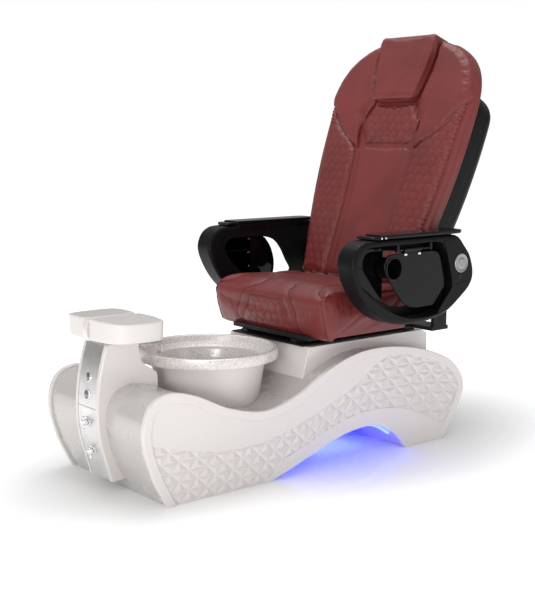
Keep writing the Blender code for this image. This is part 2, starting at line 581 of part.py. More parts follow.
# ---- armrests -----------------------------------------------------------------------------------------------
def make_arm(chair, name, sign, matt, gloss, chrome):
    def span(inner, outer):
        return sorted((sign * inner, sign * outer))

    lift = empty(f"arm_{name}_axis", (sign * ARM_X[0], *ARM_PIVOT), chair)
    outline = spline(ARM_POINTS, 2, closed=True)
    frame = prism(f"arm_frame_{name}", outline, *span(*ARM_X), "X", matt, chair, 0.009, 2)
    recess = prism(f"arm_recess_{name}", spline(RECESS_POINTS, 2, closed=True), *span(FLANGE_X, 0.43), "X",
                   None, chair)
    window = prism(f"arm_window_{name}", spline(WINDOW_POINTS, 2, closed=True), *span(0.30, 0.35), "X",
                   None, chair)
    bore = rod(f"arm_bore_{name}", 0.0125, (sign * 0.32, *ARM_PIVOT), (sign, 0, 0), 0.11, None, chair)
    cut(frame, recess, window, bore)

    pin = rod(f"arm_pivot_pin_{name}", 0.0120, (sign * 0.3095, *ARM_PIVOT), (sign, 0, 0), 0.1010, chrome, chair)
    head = rod(f"pin_head_{name}", 0.032, (sign * (ARM_X[1] + GAP), *ARM_PIVOT), (sign, 0, 0), 0.0055, None,
               chair, 28)
    join(pin, head)

    plate_front = [(0.662, 0.655), (0.668, 0.690), (0.700, 0.709), (0.800, 0.709), (0.800, 0.532),
                   (0.762, 0.548), (0.700, 0.595)]
    backplate = prism(f"arm_backplate_{name}", plate_front, *span(FLANGE_X + GAP, FLANGE_X + 0.004), "X",
                      gloss, chair)

    lid_plan = [(0.690, 0.329), (0.690, 0.392), (0.712, 0.414), (1.085, 0.414), (1.110, 0.396),
                (1.110, 0.340), (1.098, 0.329)]
    lid_plan = [(sign * x, y) for y, x in lid_plan]
    lid = prism(f"arm_lid_{name}", lid_plan, 0.7432, 0.757, "Z", gloss, chair, 0.003, 1)
    trough = [(0.60, 0.70), (0.60, 0.7418), (1.068, 0.7418), (1.090, 0.7345), (1.14, 0.70)]
    cut(lid, prism(f"lid_seat_{name}", trough, *span(0.30, 0.44), "X", None, chair))
    carried(lift, frame, recess, window, bore, pin, head, backplate, lid)

    shift = RIGHT_TRAY_SHIFT if name == "right" else 0.0
    rod_y = (0.808 + shift, 0.978 + shift)
    hinge_x, hinge_z = TRAY_AXIS
    hinge_rod = rod(f"tray_rod_{name}", 0.004, (sign * hinge_x, rod_y[0], hinge_z), (0, 1, 0),
                    rod_y[1] - rod_y[0], chrome, chair, 12)
    for number, y in enumerate((rod_y[0] + 0.002, rod_y[1] - 0.014)):
        bracket = box(f"rod_bracket_{name}_{number}", span(hinge_x - 0.004, hinge_x + 0.004), (y, y + 0.012),
                      (hinge_z, 0.7205), None, chair)
        join(hinge_rod, bracket)
        carried(lift, bracket)
    carried(lift, hinge_rod)

    flip = empty(f"tray_{name}_axis", (sign * hinge_x, rod_y[0], hinge_z), chair)
    plan = [(y + shift, z) for y, z in spline(TRAY_POINTS, 2, closed=True)]
    tray = prism(f"tray_{name}", plan, *span(*TRAY_X), "X", gloss, chair, 0.0015, 1)
    cup_y, cup_z = CUP[0] + shift, CUP[1]
    tube = rod(f"cup_tube_{name}", CUP_R + 0.0025, (sign * TRAY_X[1], cup_y, cup_z), (-sign, 0, 0), 0.044, None,
               chair, 28)
    bore = rod(f"cup_bore_{name}", CUP_R, (sign * 0.40, cup_y, cup_z), (-sign, 0, 0), 0.049, None, chair, 28)
    knuckle = rod(f"tray_knuckle_{name}", 0.0075, (sign * hinge_x, 0.845 + shift, hinge_z), (0, 1, 0), 0.080,
                  None, chair)
    neck = box(f"tray_neck_{name}", span(hinge_x - 0.0025, hinge_x + 0.0025), (0.847 + shift, 0.923 + shift),
               (0.688, hinge_z), None, chair)
    pin_hole = rod(f"tray_pin_hole_{name}", 0.0045, (sign * hinge_x, 0.70 + shift, hinge_z), (0, 1, 0), 0.40,
                   None, chair)
    join(tray, tube, neck, knuckle)
    cut(tray, bore, pin_hole)
    carried(flip, tray, tube, bore, neck, knuckle, pin_hole)
    flip.parent = lift
    flip.matrix_parent_inverse = Matrix.Translation(-lift.location)


# ---- the chair ----------------------------------------------------------------------------------------------
def main():
    clear_scene()
    chair = empty("chair", (0.0, -ORIGIN_Y, 0.0), None)
    pearl = material("pearl_white", (0.76, 0.71, 0.69), 0.25)
    lobe = material("pearl_grey", (0.60, 0.57, 0.55), 0.25)
    glitter = material("glitter_white", (0.70, 0.68, 0.66), 0.35, 0.2)
    mirror = material("mirror_steel", (0.80, 0.79, 0.78), 0.08, 1.0)
    chrome = material("chrome", (0.85, 0.85, 0.86), 0.08, 1.0)
    brass = material("brass", (0.72, 0.53, 0.25), 0.3, 1.0)
    steel = material("painted_steel", (0.05, 0.05, 0.05), 0.5, 0.3)
    matt = material("matt_black", (0.018, 0.018, 0.018), 0.55)
    gloss = material("gloss_black", (0.006, 0.006, 0.006), 0.10)
    leather = material("burgundy_leather", (0.22, 0.048, 0.048), 0.45)
    rubber = material("rubber", (0.02, 0.02, 0.02), 0.8)
    light = material("blue_light", (0.10, 0.12, 0.80), 0.4)

    side, arch, body = base_lines()
    shell = make_base_shell(chair, lobe, body, arch)
    make_power_inlet(chair, matt, shell)
    make_side_panels(chair, pearl, side, arch)
    make_led_strips(chair, light, arch)
    make_pedestal(chair, pearl, body)
    make_base_frame(chair, steel, rubber)
    make_bowl(chair, glitter, chrome, matt)
    make_column(chair, pearl, mirror, chrome)
    make_controls(chair, chrome, brass)
    make_footrest(chair, pearl, steel)
    make_rails(chair, steel, matt)
    make_seat(chair, steel, matt, leather)
    make_back(chair, steel, matt, leather, rubber)
    make_arm(chair, "left", 1, matt, gloss, chrome)
    make_arm(chair, "right", -1, matt, gloss, chrome)


main()
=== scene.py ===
"""Looks of the pedicure spa chair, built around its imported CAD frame.

Outlines are drawn in the chair's own coordinates, with Y from the side panels' front foot, and the back's
pieces in (across, depth, height) along the tilted back. place() carries both into the frame.
"""

import json
import math

import bmesh
import bpy
import numpy as np
from mathutils import Matrix, Vector
from mathutils.bvhtree import BVHTree


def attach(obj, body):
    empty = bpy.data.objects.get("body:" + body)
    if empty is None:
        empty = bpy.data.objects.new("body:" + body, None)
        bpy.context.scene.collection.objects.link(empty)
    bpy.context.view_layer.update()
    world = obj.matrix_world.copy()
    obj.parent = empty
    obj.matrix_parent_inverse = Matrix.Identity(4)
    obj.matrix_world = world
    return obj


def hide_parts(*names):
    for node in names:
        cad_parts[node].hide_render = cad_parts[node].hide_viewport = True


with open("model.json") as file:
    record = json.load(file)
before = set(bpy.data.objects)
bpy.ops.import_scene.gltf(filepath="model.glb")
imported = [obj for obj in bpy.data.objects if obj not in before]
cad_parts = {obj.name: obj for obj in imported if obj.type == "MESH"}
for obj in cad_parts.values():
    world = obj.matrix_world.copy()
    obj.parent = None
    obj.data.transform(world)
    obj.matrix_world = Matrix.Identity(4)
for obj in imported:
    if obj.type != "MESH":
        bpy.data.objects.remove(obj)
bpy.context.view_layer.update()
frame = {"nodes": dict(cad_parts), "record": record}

ORIGIN_Y = 0.64394
CHAIR = Matrix.Translation((0.0, -ORIGIN_Y, 0.0))
BACK = CHAIR @ Matrix.Translation((0.0, 0.98, 0.56)) @ Matrix.Rotation(math.radians(-21.0), 4, "X")
WALL = 0.006

PANEL_X, BODY_X, BODY_DROP = 0.28, 0.262, 0.008
BORDER = 0.029
SIDE_POINTS = [(0.0, 0.0), (-0.052, 0.105), (-0.079, 0.215), (-0.056, 0.303), (0.013, 0.335),
    (0.105, 0.316), (0.23, 0.259), (0.37, 0.229), (0.504, 0.259), (0.631, 0.323), (0.76, 0.361),
    (0.904, 0.365), (1.07, 0.336), (1.215, 0.278), (1.283, 0.19), (1.25, 0.095), (1.181, 0.0)]
ARCH_POINTS = [(0.993, 0.0), (0.94, 0.055), (0.862, 0.097), (0.78, 0.106), (0.678, 0.091), (0.56, 0.054),
    (0.47, 0.024), (0.39, 0.0)]
FIELD_TOP = [(-0.08, 0.2), (-0.051, 0.192), (0.045, 0.163), (0.15, 0.139), (0.265, 0.128), (0.342, 0.131),
    (0.44, 0.144), (0.547, 0.176), (0.633, 0.206), (0.721, 0.24), (0.788, 0.277), (0.857, 0.318),
    (0.93, 0.345)]
FIELD_LOW = [(0.345, -0.02), (0.385, 0.016), (0.464, 0.067), (0.547, 0.096), (0.634, 0.127), (0.722, 0.149),
    (0.814, 0.159), (0.909, 0.153), (1.007, 0.132), (1.084, 0.101), (1.174, 0.052), (1.2, 0.035)]

COLUMN_X = 0.066
COLUMN_FRONT = [(-0.054, 0.036), (-0.073, 0.1), (-0.0895, 0.16), (-0.0975, 0.22), (-0.0975, 0.283),
    (-0.0895, 0.35), (-0.076, 0.41), (-0.062, 0.455)]
COLUMN_BACK = [(0.05, 0.455), (0.052, 0.412), (0.068, 0.382), (0.1, 0.359), (0.115, 0.34), (0.115, 0.25)]
COLUMN_TOP_Z = 0.455
PLATE_X, PLATE_DEPTH, PLATE_SPLIT_Z = 0.05, 0.004, 0.262
JET_Z, DRAIN_Z, HOT_Z, COLD_Z = 0.352, 0.3, 0.217, 0.126
BOWL_Y, RIM_Z, RIM_R = 0.352, 0.393, 0.228
PEDESTAL_X, PEDESTAL_TOP = 0.2066, 0.387
PEDESTAL_Y = (0.578, 0.606, 1.15, 1.165)
FOOTREST_Z = (0.466, 0.527)
FOOTREST_POINTS = [(0.0125, -0.092), (0.08, -0.09), (0.125, -0.077), (0.15, -0.045), (0.158, 0.005),
    (0.156, 0.055), (0.145, 0.08), (0.118, 0.088), (0.0125, 0.088)]

SHELL_FRONT, SHELL_REAR, SHELL_CROWN = 0.0425, 0.16, 0.145
ARM_X = (0.329, 0.409)
ARM_PIVOT = (1.1, 0.644)
ARM_POINTS = [(0.605, 0.658), (0.616, 0.706), (0.646, 0.733), (0.69, 0.741), (0.8, 0.741), (0.92, 0.741),
    (1.04, 0.741), (1.09, 0.734), (1.122, 0.704), (1.15, 0.668), (1.168, 0.61), (1.152, 0.562), (1.1, 0.52),
    (1.04, 0.484), (0.97, 0.466), (0.89, 0.461), (0.81, 0.465), (0.74, 0.488), (0.68, 0.529),
    (0.632, 0.592)]
RECESS_POINTS = [(0.624, 0.66), (0.637, 0.698), (0.662, 0.717), (0.7, 0.722), (0.86, 0.722), (0.985, 0.722),
    (1.016, 0.704), (1.046, 0.65), (1.062, 0.585), (1.044, 0.52), (0.985, 0.484), (0.905, 0.478),
    (0.83, 0.488), (0.75, 0.522), (0.68, 0.566), (0.64, 0.606)]
WINDOW_POINTS = [(0.676, 0.662), (0.69, 0.69), (0.73, 0.698), (0.8, 0.698), (0.86, 0.694), (0.905, 0.68),
    (0.938, 0.646), (0.962, 0.603), (0.985, 0.56), (0.96, 0.52), (0.9, 0.508), (0.83, 0.52), (0.76, 0.565),
    (0.7, 0.618)]
FLANGE_X = 0.337
TRAY_X = (0.386, 0.392)
TRAY_AXIS = (0.389, 0.703)
TRAY_POINTS = [(0.76, 0.64), (0.762, 0.672), (0.785, 0.691), (0.85, 0.692), (0.93, 0.692), (0.994, 0.69),
    (1.02, 0.67), (1.04, 0.638), (1.052, 0.59), (1.044, 0.54), (1.014, 0.514), (0.95, 0.51), (0.89, 0.512),
    (0.848, 0.53), (0.8, 0.582)]
CUP, CUP_R = (0.8, 0.645), 0.033
TRAY_SHIFT = {"left": 0.0, "right": -0.1}
SIDES = (("left", 1), ("right", -1))

LOOKS = {}      # the finishes by name, filled by make_materials()
# The look "lobe" is pearl_white darkened: painted shade for the lobes, which are the same white pearl as the
# panels.
SLOTS = {"leather": "burgundy_leather", "thread": "burgundy_leather", "pearl": "pearl_white",
    "lobe": "pearl_lobe", "glitter": "glitter_white", "mirror": "mirror_steel", "chrome": "chrome",
    "silver": "chrome", "brass": "brass", "steel": "painted_steel", "matt": "matt_black",
    "gloss": "gloss_black", "rubber": "rubber", "light": "blue_light"}


# ---- lines ----
def spline(points, steps, closed=False):
    """A smooth line through the points (Catmull-Rom), with so many steps from one point to the next."""
    count = len(points)
    line = []
    for i in range(count if closed else count - 1):
        if closed:
            a, b, c, d = (Vector(points[(i + k) % count]) for k in (-1, 0, 1, 2))
        else:
            a, b, c, d = (Vector(points[min(max(i + k, 0), count - 1)]) for k in (-1, 0, 1, 2))
        for step in range(steps):
            t = step / steps
            line.append(tuple(0.5 * (2 * b + (c - a) * t + (2 * a - 5 * b + 4 * c - d) * t * t
                + (3 * b - a - 3 * c + d) * t ** 3)))
    if not closed:
        line.append(tuple(points[-1]))
    return line


def offset(line, distance):
    """An open line moved sideways, to its right as it runs."""
    moved = []
    for i, point in enumerate(line):
        before = Vector(line[max(i - 1, 0)])
        after = Vector(line[min(i + 1, len(line) - 1)])
        along = (after - before).normalized()
        moved.append(tuple(Vector(point) + distance * Vector((along.y, -along.x))))
    return moved


def mirrored(outline):
    return [(-x, y) for x, y in outline]


def height_on(line, y):
    """Height of the upper side of a (y, z) line at y."""
    pairs = zip(line, line[1:])
    return max(a[1] + (b[1] - a[1]) * (y - a[0]) / (b[0] - a[0]) for a, b in pairs if a[0] <= y < b[0])


def ease(t):
    t = min(max(t, 0.0), 1.0)
    return t * t * (3 - 2 * t)


# ---- meshes ----
def new_object(name, bm):
    bmesh.ops.recalc_face_normals(bm, faces=bm.faces)
    mesh = bpy.data.meshes.new(name)
    bm.to_mesh(mesh)
    bm.free()
    piece = bpy.data.objects.new(name, mesh)
    bpy.context.scene.collection.objects.link(piece)
    return piece


def prism(name, outline, lo, hi, axis, bevel=0.0, segments=4, angle=40.0):
    """A flat outline pulled along one axis: outlines are (y, z) for X, (x, z) for Y and (x, y) for Z."""
    order = {"X": (2, 0, 1), "Y": (0, 2, 1), "Z": (0, 1, 2)}[axis]
    bm = bmesh.new()
    low = [bm.verts.new([(p[0], p[1], lo)[k] for k in order]) for p in outline]
    high = [bm.verts.new([(p[0], p[1], hi)[k] for k in order]) for p in outline]
    bm.faces.new(low)
    bm.faces.new(high)
    for i in range(len(outline)):
        j = (i + 1) % len(outline)
        bm.faces.new((low[i], low[j], high[j], high[i]))
    piece = new_object(name, bm)
    if bevel:
        round_edges(piece, bevel, segments, angle)
    return piece


def round_edges(piece, width, segments=4, angle=40.0):
    rounding = piece.modifiers.new("Bevel", "BEVEL")
    rounding.width = width
    rounding.segments = segments
    rounding.limit_method = "ANGLE"
    rounding.angle_limit = math.radians(angle)
    rounding.harden_normals = False


def box(name, x, y, z, bevel=0.0, segments=4):
    corners = [(x[0], y[0]), (x[1], y[0]), (x[1], y[1]), (x[0], y[1])]
    return prism(name, corners, z[0], z[1], "Z", bevel, segments)


def rod(name, radius, start, direction, length, sides=48, bevel=0.0):
    bm = bmesh.new()
    turn = Vector(direction).to_track_quat("Z", "Y").to_matrix().to_4x4()
    middle = Vector(start) + Vector(direction).normalized() * length / 2
    bmesh.ops.create_cone(bm, cap_ends=True, segments=sides, radius1=radius, radius2=radius, depth=length,
        matrix=Matrix.Translation(middle) @ turn)
    piece = new_object(name, bm)
    if bevel:
        round_edges(piece, bevel, 3)
    return piece


def turned(name, profile, centre, sides=128, turn=None):
    """A closed (radius, z) profile turned round the vertical through the centre, or round a given frame."""
    bm = bmesh.new()
    rings = []
    for radius, z in profile:
        if radius == 0.0:
            rings.append([bm.verts.new((0.0, 0.0, z))] * sides)
            continue
        angles = [2 * math.pi * k / sides for k in range(sides)]
        rings.append([bm.verts.new((radius * math.cos(a), radius * math.sin(a), z)) for a in angles])
    for one, two in zip(rings, rings[1:] + rings[:1]):
        for k in range(sides):
            corners = list(dict.fromkeys([one[k], one[(k + 1) % sides], two[(k + 1) % sides], two[k]]))
            if len(corners) > 2:
                bm.faces.new(corners)
    matrix = turn if turn is not None else Matrix.Translation((centre[0], centre[1], 0.0))
    bmesh.ops.transform(bm, matrix=matrix, verts=bm.verts)
    return new_object(name, bm)


def sweep(bm, points, radius, sides, closed=False):
    """Adds a thin round line along points."""
    rings = []
    count = len(points)
    angles = [2 * math.pi * k / sides for k in range(sides)]
    circle = [radius * Vector((math.cos(a), math.sin(a), 0)) for a in angles]
    for i, point in enumerate(points):
        before = Vector(points[(i - 1) % count] if closed else points[max(i - 1, 0)])
        after = Vector(points[(i + 1) % count] if closed else points[min(i + 1, count - 1)])
        turn = (after - before).to_track_quat("Z", "Y").to_matrix()
        rings.append([bm.verts.new(Vector(point) + turn @ spot) for spot in circle])
    for one, two in list(zip(rings, rings[1:])) + ([(rings[-1], rings[0])] if closed else []):
        for k in range(sides):
            bm.faces.new((one[k], one[(k + 1) % sides], two[(k + 1) % sides], two[k]))
    if not closed:
        bm.faces.new(rings[0])
        bm.faces.new(rings[-1])


def tube(name, points, radius, sides=8, closed=False):
    bm = bmesh.new()
    sweep(bm, points, radius, sides, closed)
    return new_object(name, bm)


def bake(piece, cutters=()):
    """The modifiers' result becomes the mesh."""
    bpy.context.view_layer.update()
    graph = bpy.context.evaluated_depsgraph_get()
    mesh = bpy.data.meshes.new_from_object(piece.evaluated_get(graph))
    piece.modifiers.clear()
    piece.data = mesh
    for cutter in cutters:
        bpy.data.objects.remove(cutter)
    return piece


def combine(piece, others, operation):
    for other in others:
        change = piece.modifiers.new(operation.title(), "BOOLEAN")
        change.operation = operation
        change.solver = "EXACT"
        change.object = other
    return bake(piece, others)


def cut(piece, *others):
    return combine(piece, others, "DIFFERENCE")


def join(piece, *others):
    return combine(piece, others, "UNION")


def place(piece, body, look, nodes=(), matrix=CHAIR, sharp=32.0):
    """Carries a finished piece into the frame, with its look, its body and the CAD nodes it stands for."""
    if piece.modifiers:
        bake(piece)
    piece.data.transform(matrix)
    piece.data.materials.clear()
    piece.data.materials.append(LOOKS[look])
    piece.data.shade_smooth()
    if sharp:
        piece.data.set_sharp_from_angle(angle=math.radians(sharp))
        flat = piece.modifiers.new("WeightedNormal", "WEIGHTED_NORMAL")
        flat.keep_sharp = True
        bake(piece)
    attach(piece, body)
    if nodes:
        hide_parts(*nodes)
    return piece


# ---- materials ----
def add_node(tree, kind, **values):
    made = tree.nodes.new(kind)
    for key, value in values.items():
        made.inputs[key.replace("_", " ")].default_value = value
    return made


class Finish:
    """A Principled material with procedural colour, roughness and relief."""

    def __init__(self, name, colour, roughness, metallic=0.0, **sockets):
        self.mat = bpy.data.materials.new(name)
        self.mat.use_nodes = True
        self.tree = self.mat.node_tree
        self.shader = self.tree.nodes["Principled BSDF"]
        self.shader.inputs["Base Color"].default_value = (*colour, 1.0)
        self.shader.inputs["Roughness"].default_value = roughness
        self.shader.inputs["Metallic"].default_value = metallic
        for key, value in sockets.items():
            self.shader.inputs[key.replace("_", " ")].default_value = value
        self.colour = colour
        self.place = self.tree.nodes.new("ShaderNodeTexCoord").outputs["Object"]
        self.normal = None

    def node(self, kind, **values):
        return add_node(self.tree, kind, **values)

    def noise(self, scale, detail=4.0, stretch=None):
        made = self.node("ShaderNodeTexNoise", Scale=scale, Detail=detail)
        self.tree.links.new(self.stretched(stretch), made.inputs["Vector"])
        return made.outputs["Fac"]

    def stretched(self, stretch):
        if stretch is None:
            return self.place
        mapping = self.node("ShaderNodeMapping", Scale=stretch)
        self.tree.links.new(self.place, mapping.inputs["Vector"])
        return mapping.outputs["Vector"]

    def cells(self, scale, output="Distance"):
        made = self.node("ShaderNodeTexVoronoi", Scale=scale)
        self.tree.links.new(self.place, made.inputs["Vector"])
        return made.outputs[output]

    def vary_colour(self, factor, darker, lighter, low=0.35, high=0.65):
        """Base colour between two multiples of the material's own colour."""
        ramp = self.tree.nodes.new("ShaderNodeValToRGB")
        for stop, share, where in zip(ramp.color_ramp.elements, (darker, lighter), (low, high)):
            stop.color = (*[min(1.0, c * share) for c in self.colour], 1.0)
            stop.position = where
        self.tree.links.new(factor, ramp.inputs["Fac"])
        self.tree.links.new(ramp.outputs["Color"], self.shader.inputs["Base Color"])
        return self

    def vary(self, socket, factor, low, high):
        spread = self.node("ShaderNodeMapRange", To_Min=low, To_Max=high)
        self.tree.links.new(factor, spread.inputs["Value"])
        self.tree.links.new(spread.outputs["Result"], self.shader.inputs[socket])
        return self

    def relief(self, height, strength, distance):
        bump = self.node("ShaderNodeBump", Strength=strength, Distance=distance)
        self.tree.links.new(height, bump.inputs["Height"])
        if self.normal:
            self.tree.links.new(self.normal, bump.inputs["Normal"])
        self.normal = bump.outputs["Normal"]
        self.tree.links.new(self.normal, self.shader.inputs["Normal"])
        return self


def leather_material():
    made = Finish("burgundy_leather", (0.17, 0.026, 0.025), 0.38, Specular_IOR_Level=0.42)
    made.vary_colour(made.noise(7.0, 6.0), 0.88, 1.12)
    made.vary("Roughness", made.noise(30.0), 0.33, 0.46)
    made.relief(made.noise(26.0, 3.0), 0.25, 0.003)
    made.relief(made.cells(620.0), 0.3, 0.0005)
    made.relief(made.noise(900.0, 2.0), 0.15, 0.0003)
    return made.mat


def thread_material():
    made = Finish("quilting_thread", (0.06, 0.009, 0.009), 0.65)
    made.vary_colour(made.noise(400.0), 0.8, 1.2)
    made.relief(made.noise(2500.0), 0.4, 0.0002)
    return made.mat


def pearl_material():
    made = Finish("pearl_white", (0.73, 0.685, 0.67), 0.3, Coat_Weight=0.55, Coat_Roughness=0.1)
    made.vary_colour(made.noise(700.0, 2.0), 0.965, 1.03)
    made.vary("Roughness", made.noise(14.0), 0.26, 0.36)
    made.relief(made.noise(45.0, 2.0), 0.05, 0.002)
    made.relief(made.noise(1400.0, 2.0), 0.12, 0.0002)
    return made.mat


def pearl_with_painted_shade_material():
    # Painted shade: the same pearl as pearl_white, darker in colour, because the lobes turn away from the
    # light.
    made = Finish("pearl_lobe", (0.56, 0.535, 0.52), 0.26, 0.15, Coat_Weight=0.5, Coat_Roughness=0.12)
    made.vary_colour(made.noise(700.0, 2.0), 0.96, 1.04)
    made.vary("Roughness", made.noise(10.0), 0.22, 0.32)
    made.relief(made.noise(1400.0, 2.0), 0.03, 0.0002)
    return made.mat


def glitter_material():
    made = Finish("glitter_white", (0.72, 0.68, 0.655), 0.3, 0.25, Coat_Weight=0.7, Coat_Roughness=0.08)
    made.vary_colour(made.cells(520.0, "Color"), 0.86, 1.14, 0.2, 0.8)
    made.vary("Roughness", made.cells(520.0, "Color"), 0.2, 0.45)
    made.relief(made.cells(520.0, "Color"), 0.3, 0.0006)
    made.relief(made.noise(60.0), 0.15, 0.002)
    return made.mat


def metal_material(name, colour, roughness, brushed=0.0):
    made = Finish(name, colour, roughness, 1.0)
    made.vary("Roughness", made.noise(60.0), roughness * 0.7, roughness * 1.5)
    made.vary_colour(made.noise(25.0), 0.94, 1.04)
    made.relief(made.noise(35.0, 2.0, (1, 1, 6) if brushed else None), 0.04 + brushed, 0.001)
    return made.mat


def plastic_material(name, colour, roughness, grain, coat=0.0):
    made = Finish(name, colour, roughness, Coat_Weight=coat, Coat_Roughness=0.03, Specular_IOR_Level=0.15)
    made.vary_colour(made.noise(18.0), 0.8, 1.25)
    made.vary("Roughness", made.noise(40.0), roughness * 0.85, roughness * 1.2)
    made.relief(made.noise(900.0 if grain > 0.1 else 60.0, 2.0), grain, 0.0004)
    return made.mat


def light_material():
    made = Finish("blue_light", (0.05, 0.06, 0.8), 0.4, Emission_Color=(0.03, 0.05, 1.0, 1.0),
        Emission_Strength=14.0)
    made.vary("Roughness", made.noise(120.0), 0.3, 0.5)
    return made.mat


def make_materials():
    LOOKS.update({"leather": leather_material(), "thread": thread_material(), "pearl": pearl_material(),
        "lobe": pearl_with_painted_shade_material(), "glitter": glitter_material(), "mirror": metal_material("mirror_steel",
        (0.74, 0.73, 0.72), 0.3), "chrome": metal_material("chrome", (0.86, 0.86, 0.87), 0.07),
        "silver": metal_material("satin_silver", (0.36, 0.36, 0.37), 0.3),
        "brass": metal_material("brass", (0.72, 0.53, 0.25), 0.3),
        "steel": plastic_material("painted_steel", (0.012, 0.012, 0.013), 0.42, 0.2),
        "matt": plastic_material("matt_black", (0.004, 0.004, 0.0045), 0.4, 0.25),
        "gloss": plastic_material("gloss_black", (0.003, 0.003, 0.0035), 0.07, 0.03, coat=0.1),
        "rubber": plastic_material("rubber", (0.022, 0.022, 0.022), 0.8, 0.4), "light": light_material(),})


# ---- stage ----
def make_camera():
    yaw, pitch = math.radians(50.569), math.radians(8.678)
    data = bpy.data.cameras.new("camera")
    data.lens = 65.51
    data.sensor_width = 36.0
    data.clip_end = 100.0
    camera = bpy.data.objects.new("camera", data)
    bpy.context.scene.collection.objects.link(camera)
    ahead = Vector((-math.sin(yaw) * math.cos(pitch), math.cos(yaw) * math.cos(pitch), -math.sin(pitch)))
    camera.location = (2.8288, -2.3677, 1.0659)
    camera.rotation_mode = "QUATERNION"
    camera.rotation_quaternion = ahead.to_track_quat("-Z", "Y")
    bpy.context.scene.camera = camera


def softbox(name, place_at, aim, size, energy, colour=(1.0, 1.0, 1.0), spread=180):
    data = bpy.data.lights.new(name, "AREA")
    data.shape = "RECTANGLE"
    data.size, data.size_y = size
    data.energy = energy
    data.color = colour
    data.spread = math.radians(spread)
    lamp = bpy.data.objects.new(name, data)
    bpy.context.scene.collection.objects.link(lamp)
    lamp.location = place_at
    lamp.rotation_mode = "QUATERNION"
    lamp.rotation_quaternion = (Vector(aim) - Vector(place_at)).to_track_quat("-Z", "Y")


def make_stage():
    bpy.context.scene.view_settings.view_transform = "Standard"
    world = bpy.data.worlds.new("studio")
    world.use_nodes = True
    bpy.context.scene.world = world
    tree = world.node_tree
    link = tree.links.new
    white_light = (1.0, 1.0, 1.0, 1.0)
    soft = tree.nodes["Background"]
    soft.inputs["Color"].default_value = white_light
    soft.inputs["Strength"].default_value = 0.56
    seen = add_node(tree, "ShaderNodeBackground", Color=white_light, Strength=1.0)
    sky = add_node(tree, "ShaderNodeBackground")
    parts = add_node(tree, "ShaderNodeSeparateXYZ")
    height = add_node(tree, "ShaderNodeMapRange", From_Min=-0.1, From_Max=0.9, To_Min=0.24, To_Max=0.85)
    link(add_node(tree, "ShaderNodeTexCoord").outputs["Generated"], parts.inputs["Vector"])
    link(parts.outputs["Z"], height.inputs["Value"])
    link(height.outputs["Result"], sky.inputs["Strength"])
    path = add_node(tree, "ShaderNodeLightPath")
    light = soft
    for ray, other in (("Is Glossy Ray", sky), ("Is Camera Ray", seen)):
        mix = add_node(tree, "ShaderNodeMixShader")
        link(path.outputs[ray], mix.inputs["Fac"])
        link(light.outputs[0], mix.inputs[1])
        link(other.outputs[0], mix.inputs[2])
        light = mix
    link(light.outputs[0], tree.nodes["World Output"].inputs["Surface"])

    floor = box("floor", (-30.0, 30.0), (-30.0, 30.0), (-0.02, -0.0002))
    white = Finish("studio_floor", (0.93, 0.93, 0.93), 0.16, Specular_IOR_Level=0.12)
    white.shader.inputs["Emission Color"].default_value = (1.0, 1.0, 1.0, 1.0)
    # Painted light: the floor glows white far out, and this glow fades to nothing round the chair, painting a
    # darker shadow patch under and round the base.
    away = white.node("ShaderNodeVectorMath")
    away.operation = "LENGTH"
    white.tree.links.new(white.stretched((1.0, 0.55, 1.0)), away.inputs[0])
    painted_floor_glow = white.node("ShaderNodeMapRange", From_Min=0.3, From_Max=1.0, To_Min=0.0, To_Max=0.66)
    painted_floor_glow.interpolation_type = "SMOOTHSTEP"
    white.tree.links.new(away.outputs["Value"], painted_floor_glow.inputs["Value"])
    white.tree.links.new(painted_floor_glow.outputs["Result"], white.shader.inputs["Emission Strength"])
    white.vary("Roughness", white.noise(3.0), 0.14, 0.19)
    floor.data.materials.append(white.mat)

    softbox("key", (1.2, -3.6, 3.0), (0.0, -0.1, 0.5), (1.8, 1.6), 19)
    softbox("top", (-0.6, 0.2, 3.6), (0.0, 0.0, 0.4), (2.2, 2.2), 44)
    softbox("side", (3.6, 0.6, 1.8), (0.0, 0.0, 0.5), (1.2, 2.2), 8)
    softbox("fill", (2.2, -3.1, 0.8), (0.1, 0.0, 0.36), (1.2, 0.6), 3.0, spread=50)
    softbox("under_glow", (0.0, 0.73 - ORIGIN_Y, 0.085), (0.0, 0.73 - ORIGIN_Y, 0.0), (0.32, 0.44), 6.0,
        (0.02, 0.03, 1.0), 110)


# ---- base ----
def base_lines():
    side = spline(SIDE_POINTS, 12)
    arch = spline(ARCH_POINTS, 8)
    body = offset(side, BODY_DROP)
    body[0] = (body[0][0], 0.0)
    body[-1] = (body[-1][0], 0.0)
    return side, arch, body


def column_outline(grow=0.0):
    front = offset(spline(COLUMN_FRONT, 6), -grow)
    back = offset(spline(COLUMN_BACK, 6), -grow)
    low_y, low_z = front[0]
    top = COLUMN_TOP_Z + grow
    front[-1] = (front[-1][0], top)
    back[0] = (back[0][0], top)
    return front + back + [(0.02, low_z - grow), (low_y, low_z - grow)]


def bowl_outside(grow=0.0):
    """The bowl's outer profile from the bottom up to under the rim band."""
    wall = [(0.095, 0.13), (0.128, 0.145), (0.15, 0.18), (0.166, 0.225), (0.177, 0.29), (0.186, 0.35)]
    return [(0.0, 0.13 - grow)] + [(r + grow, z) for r, z in spline(wall, 5)]


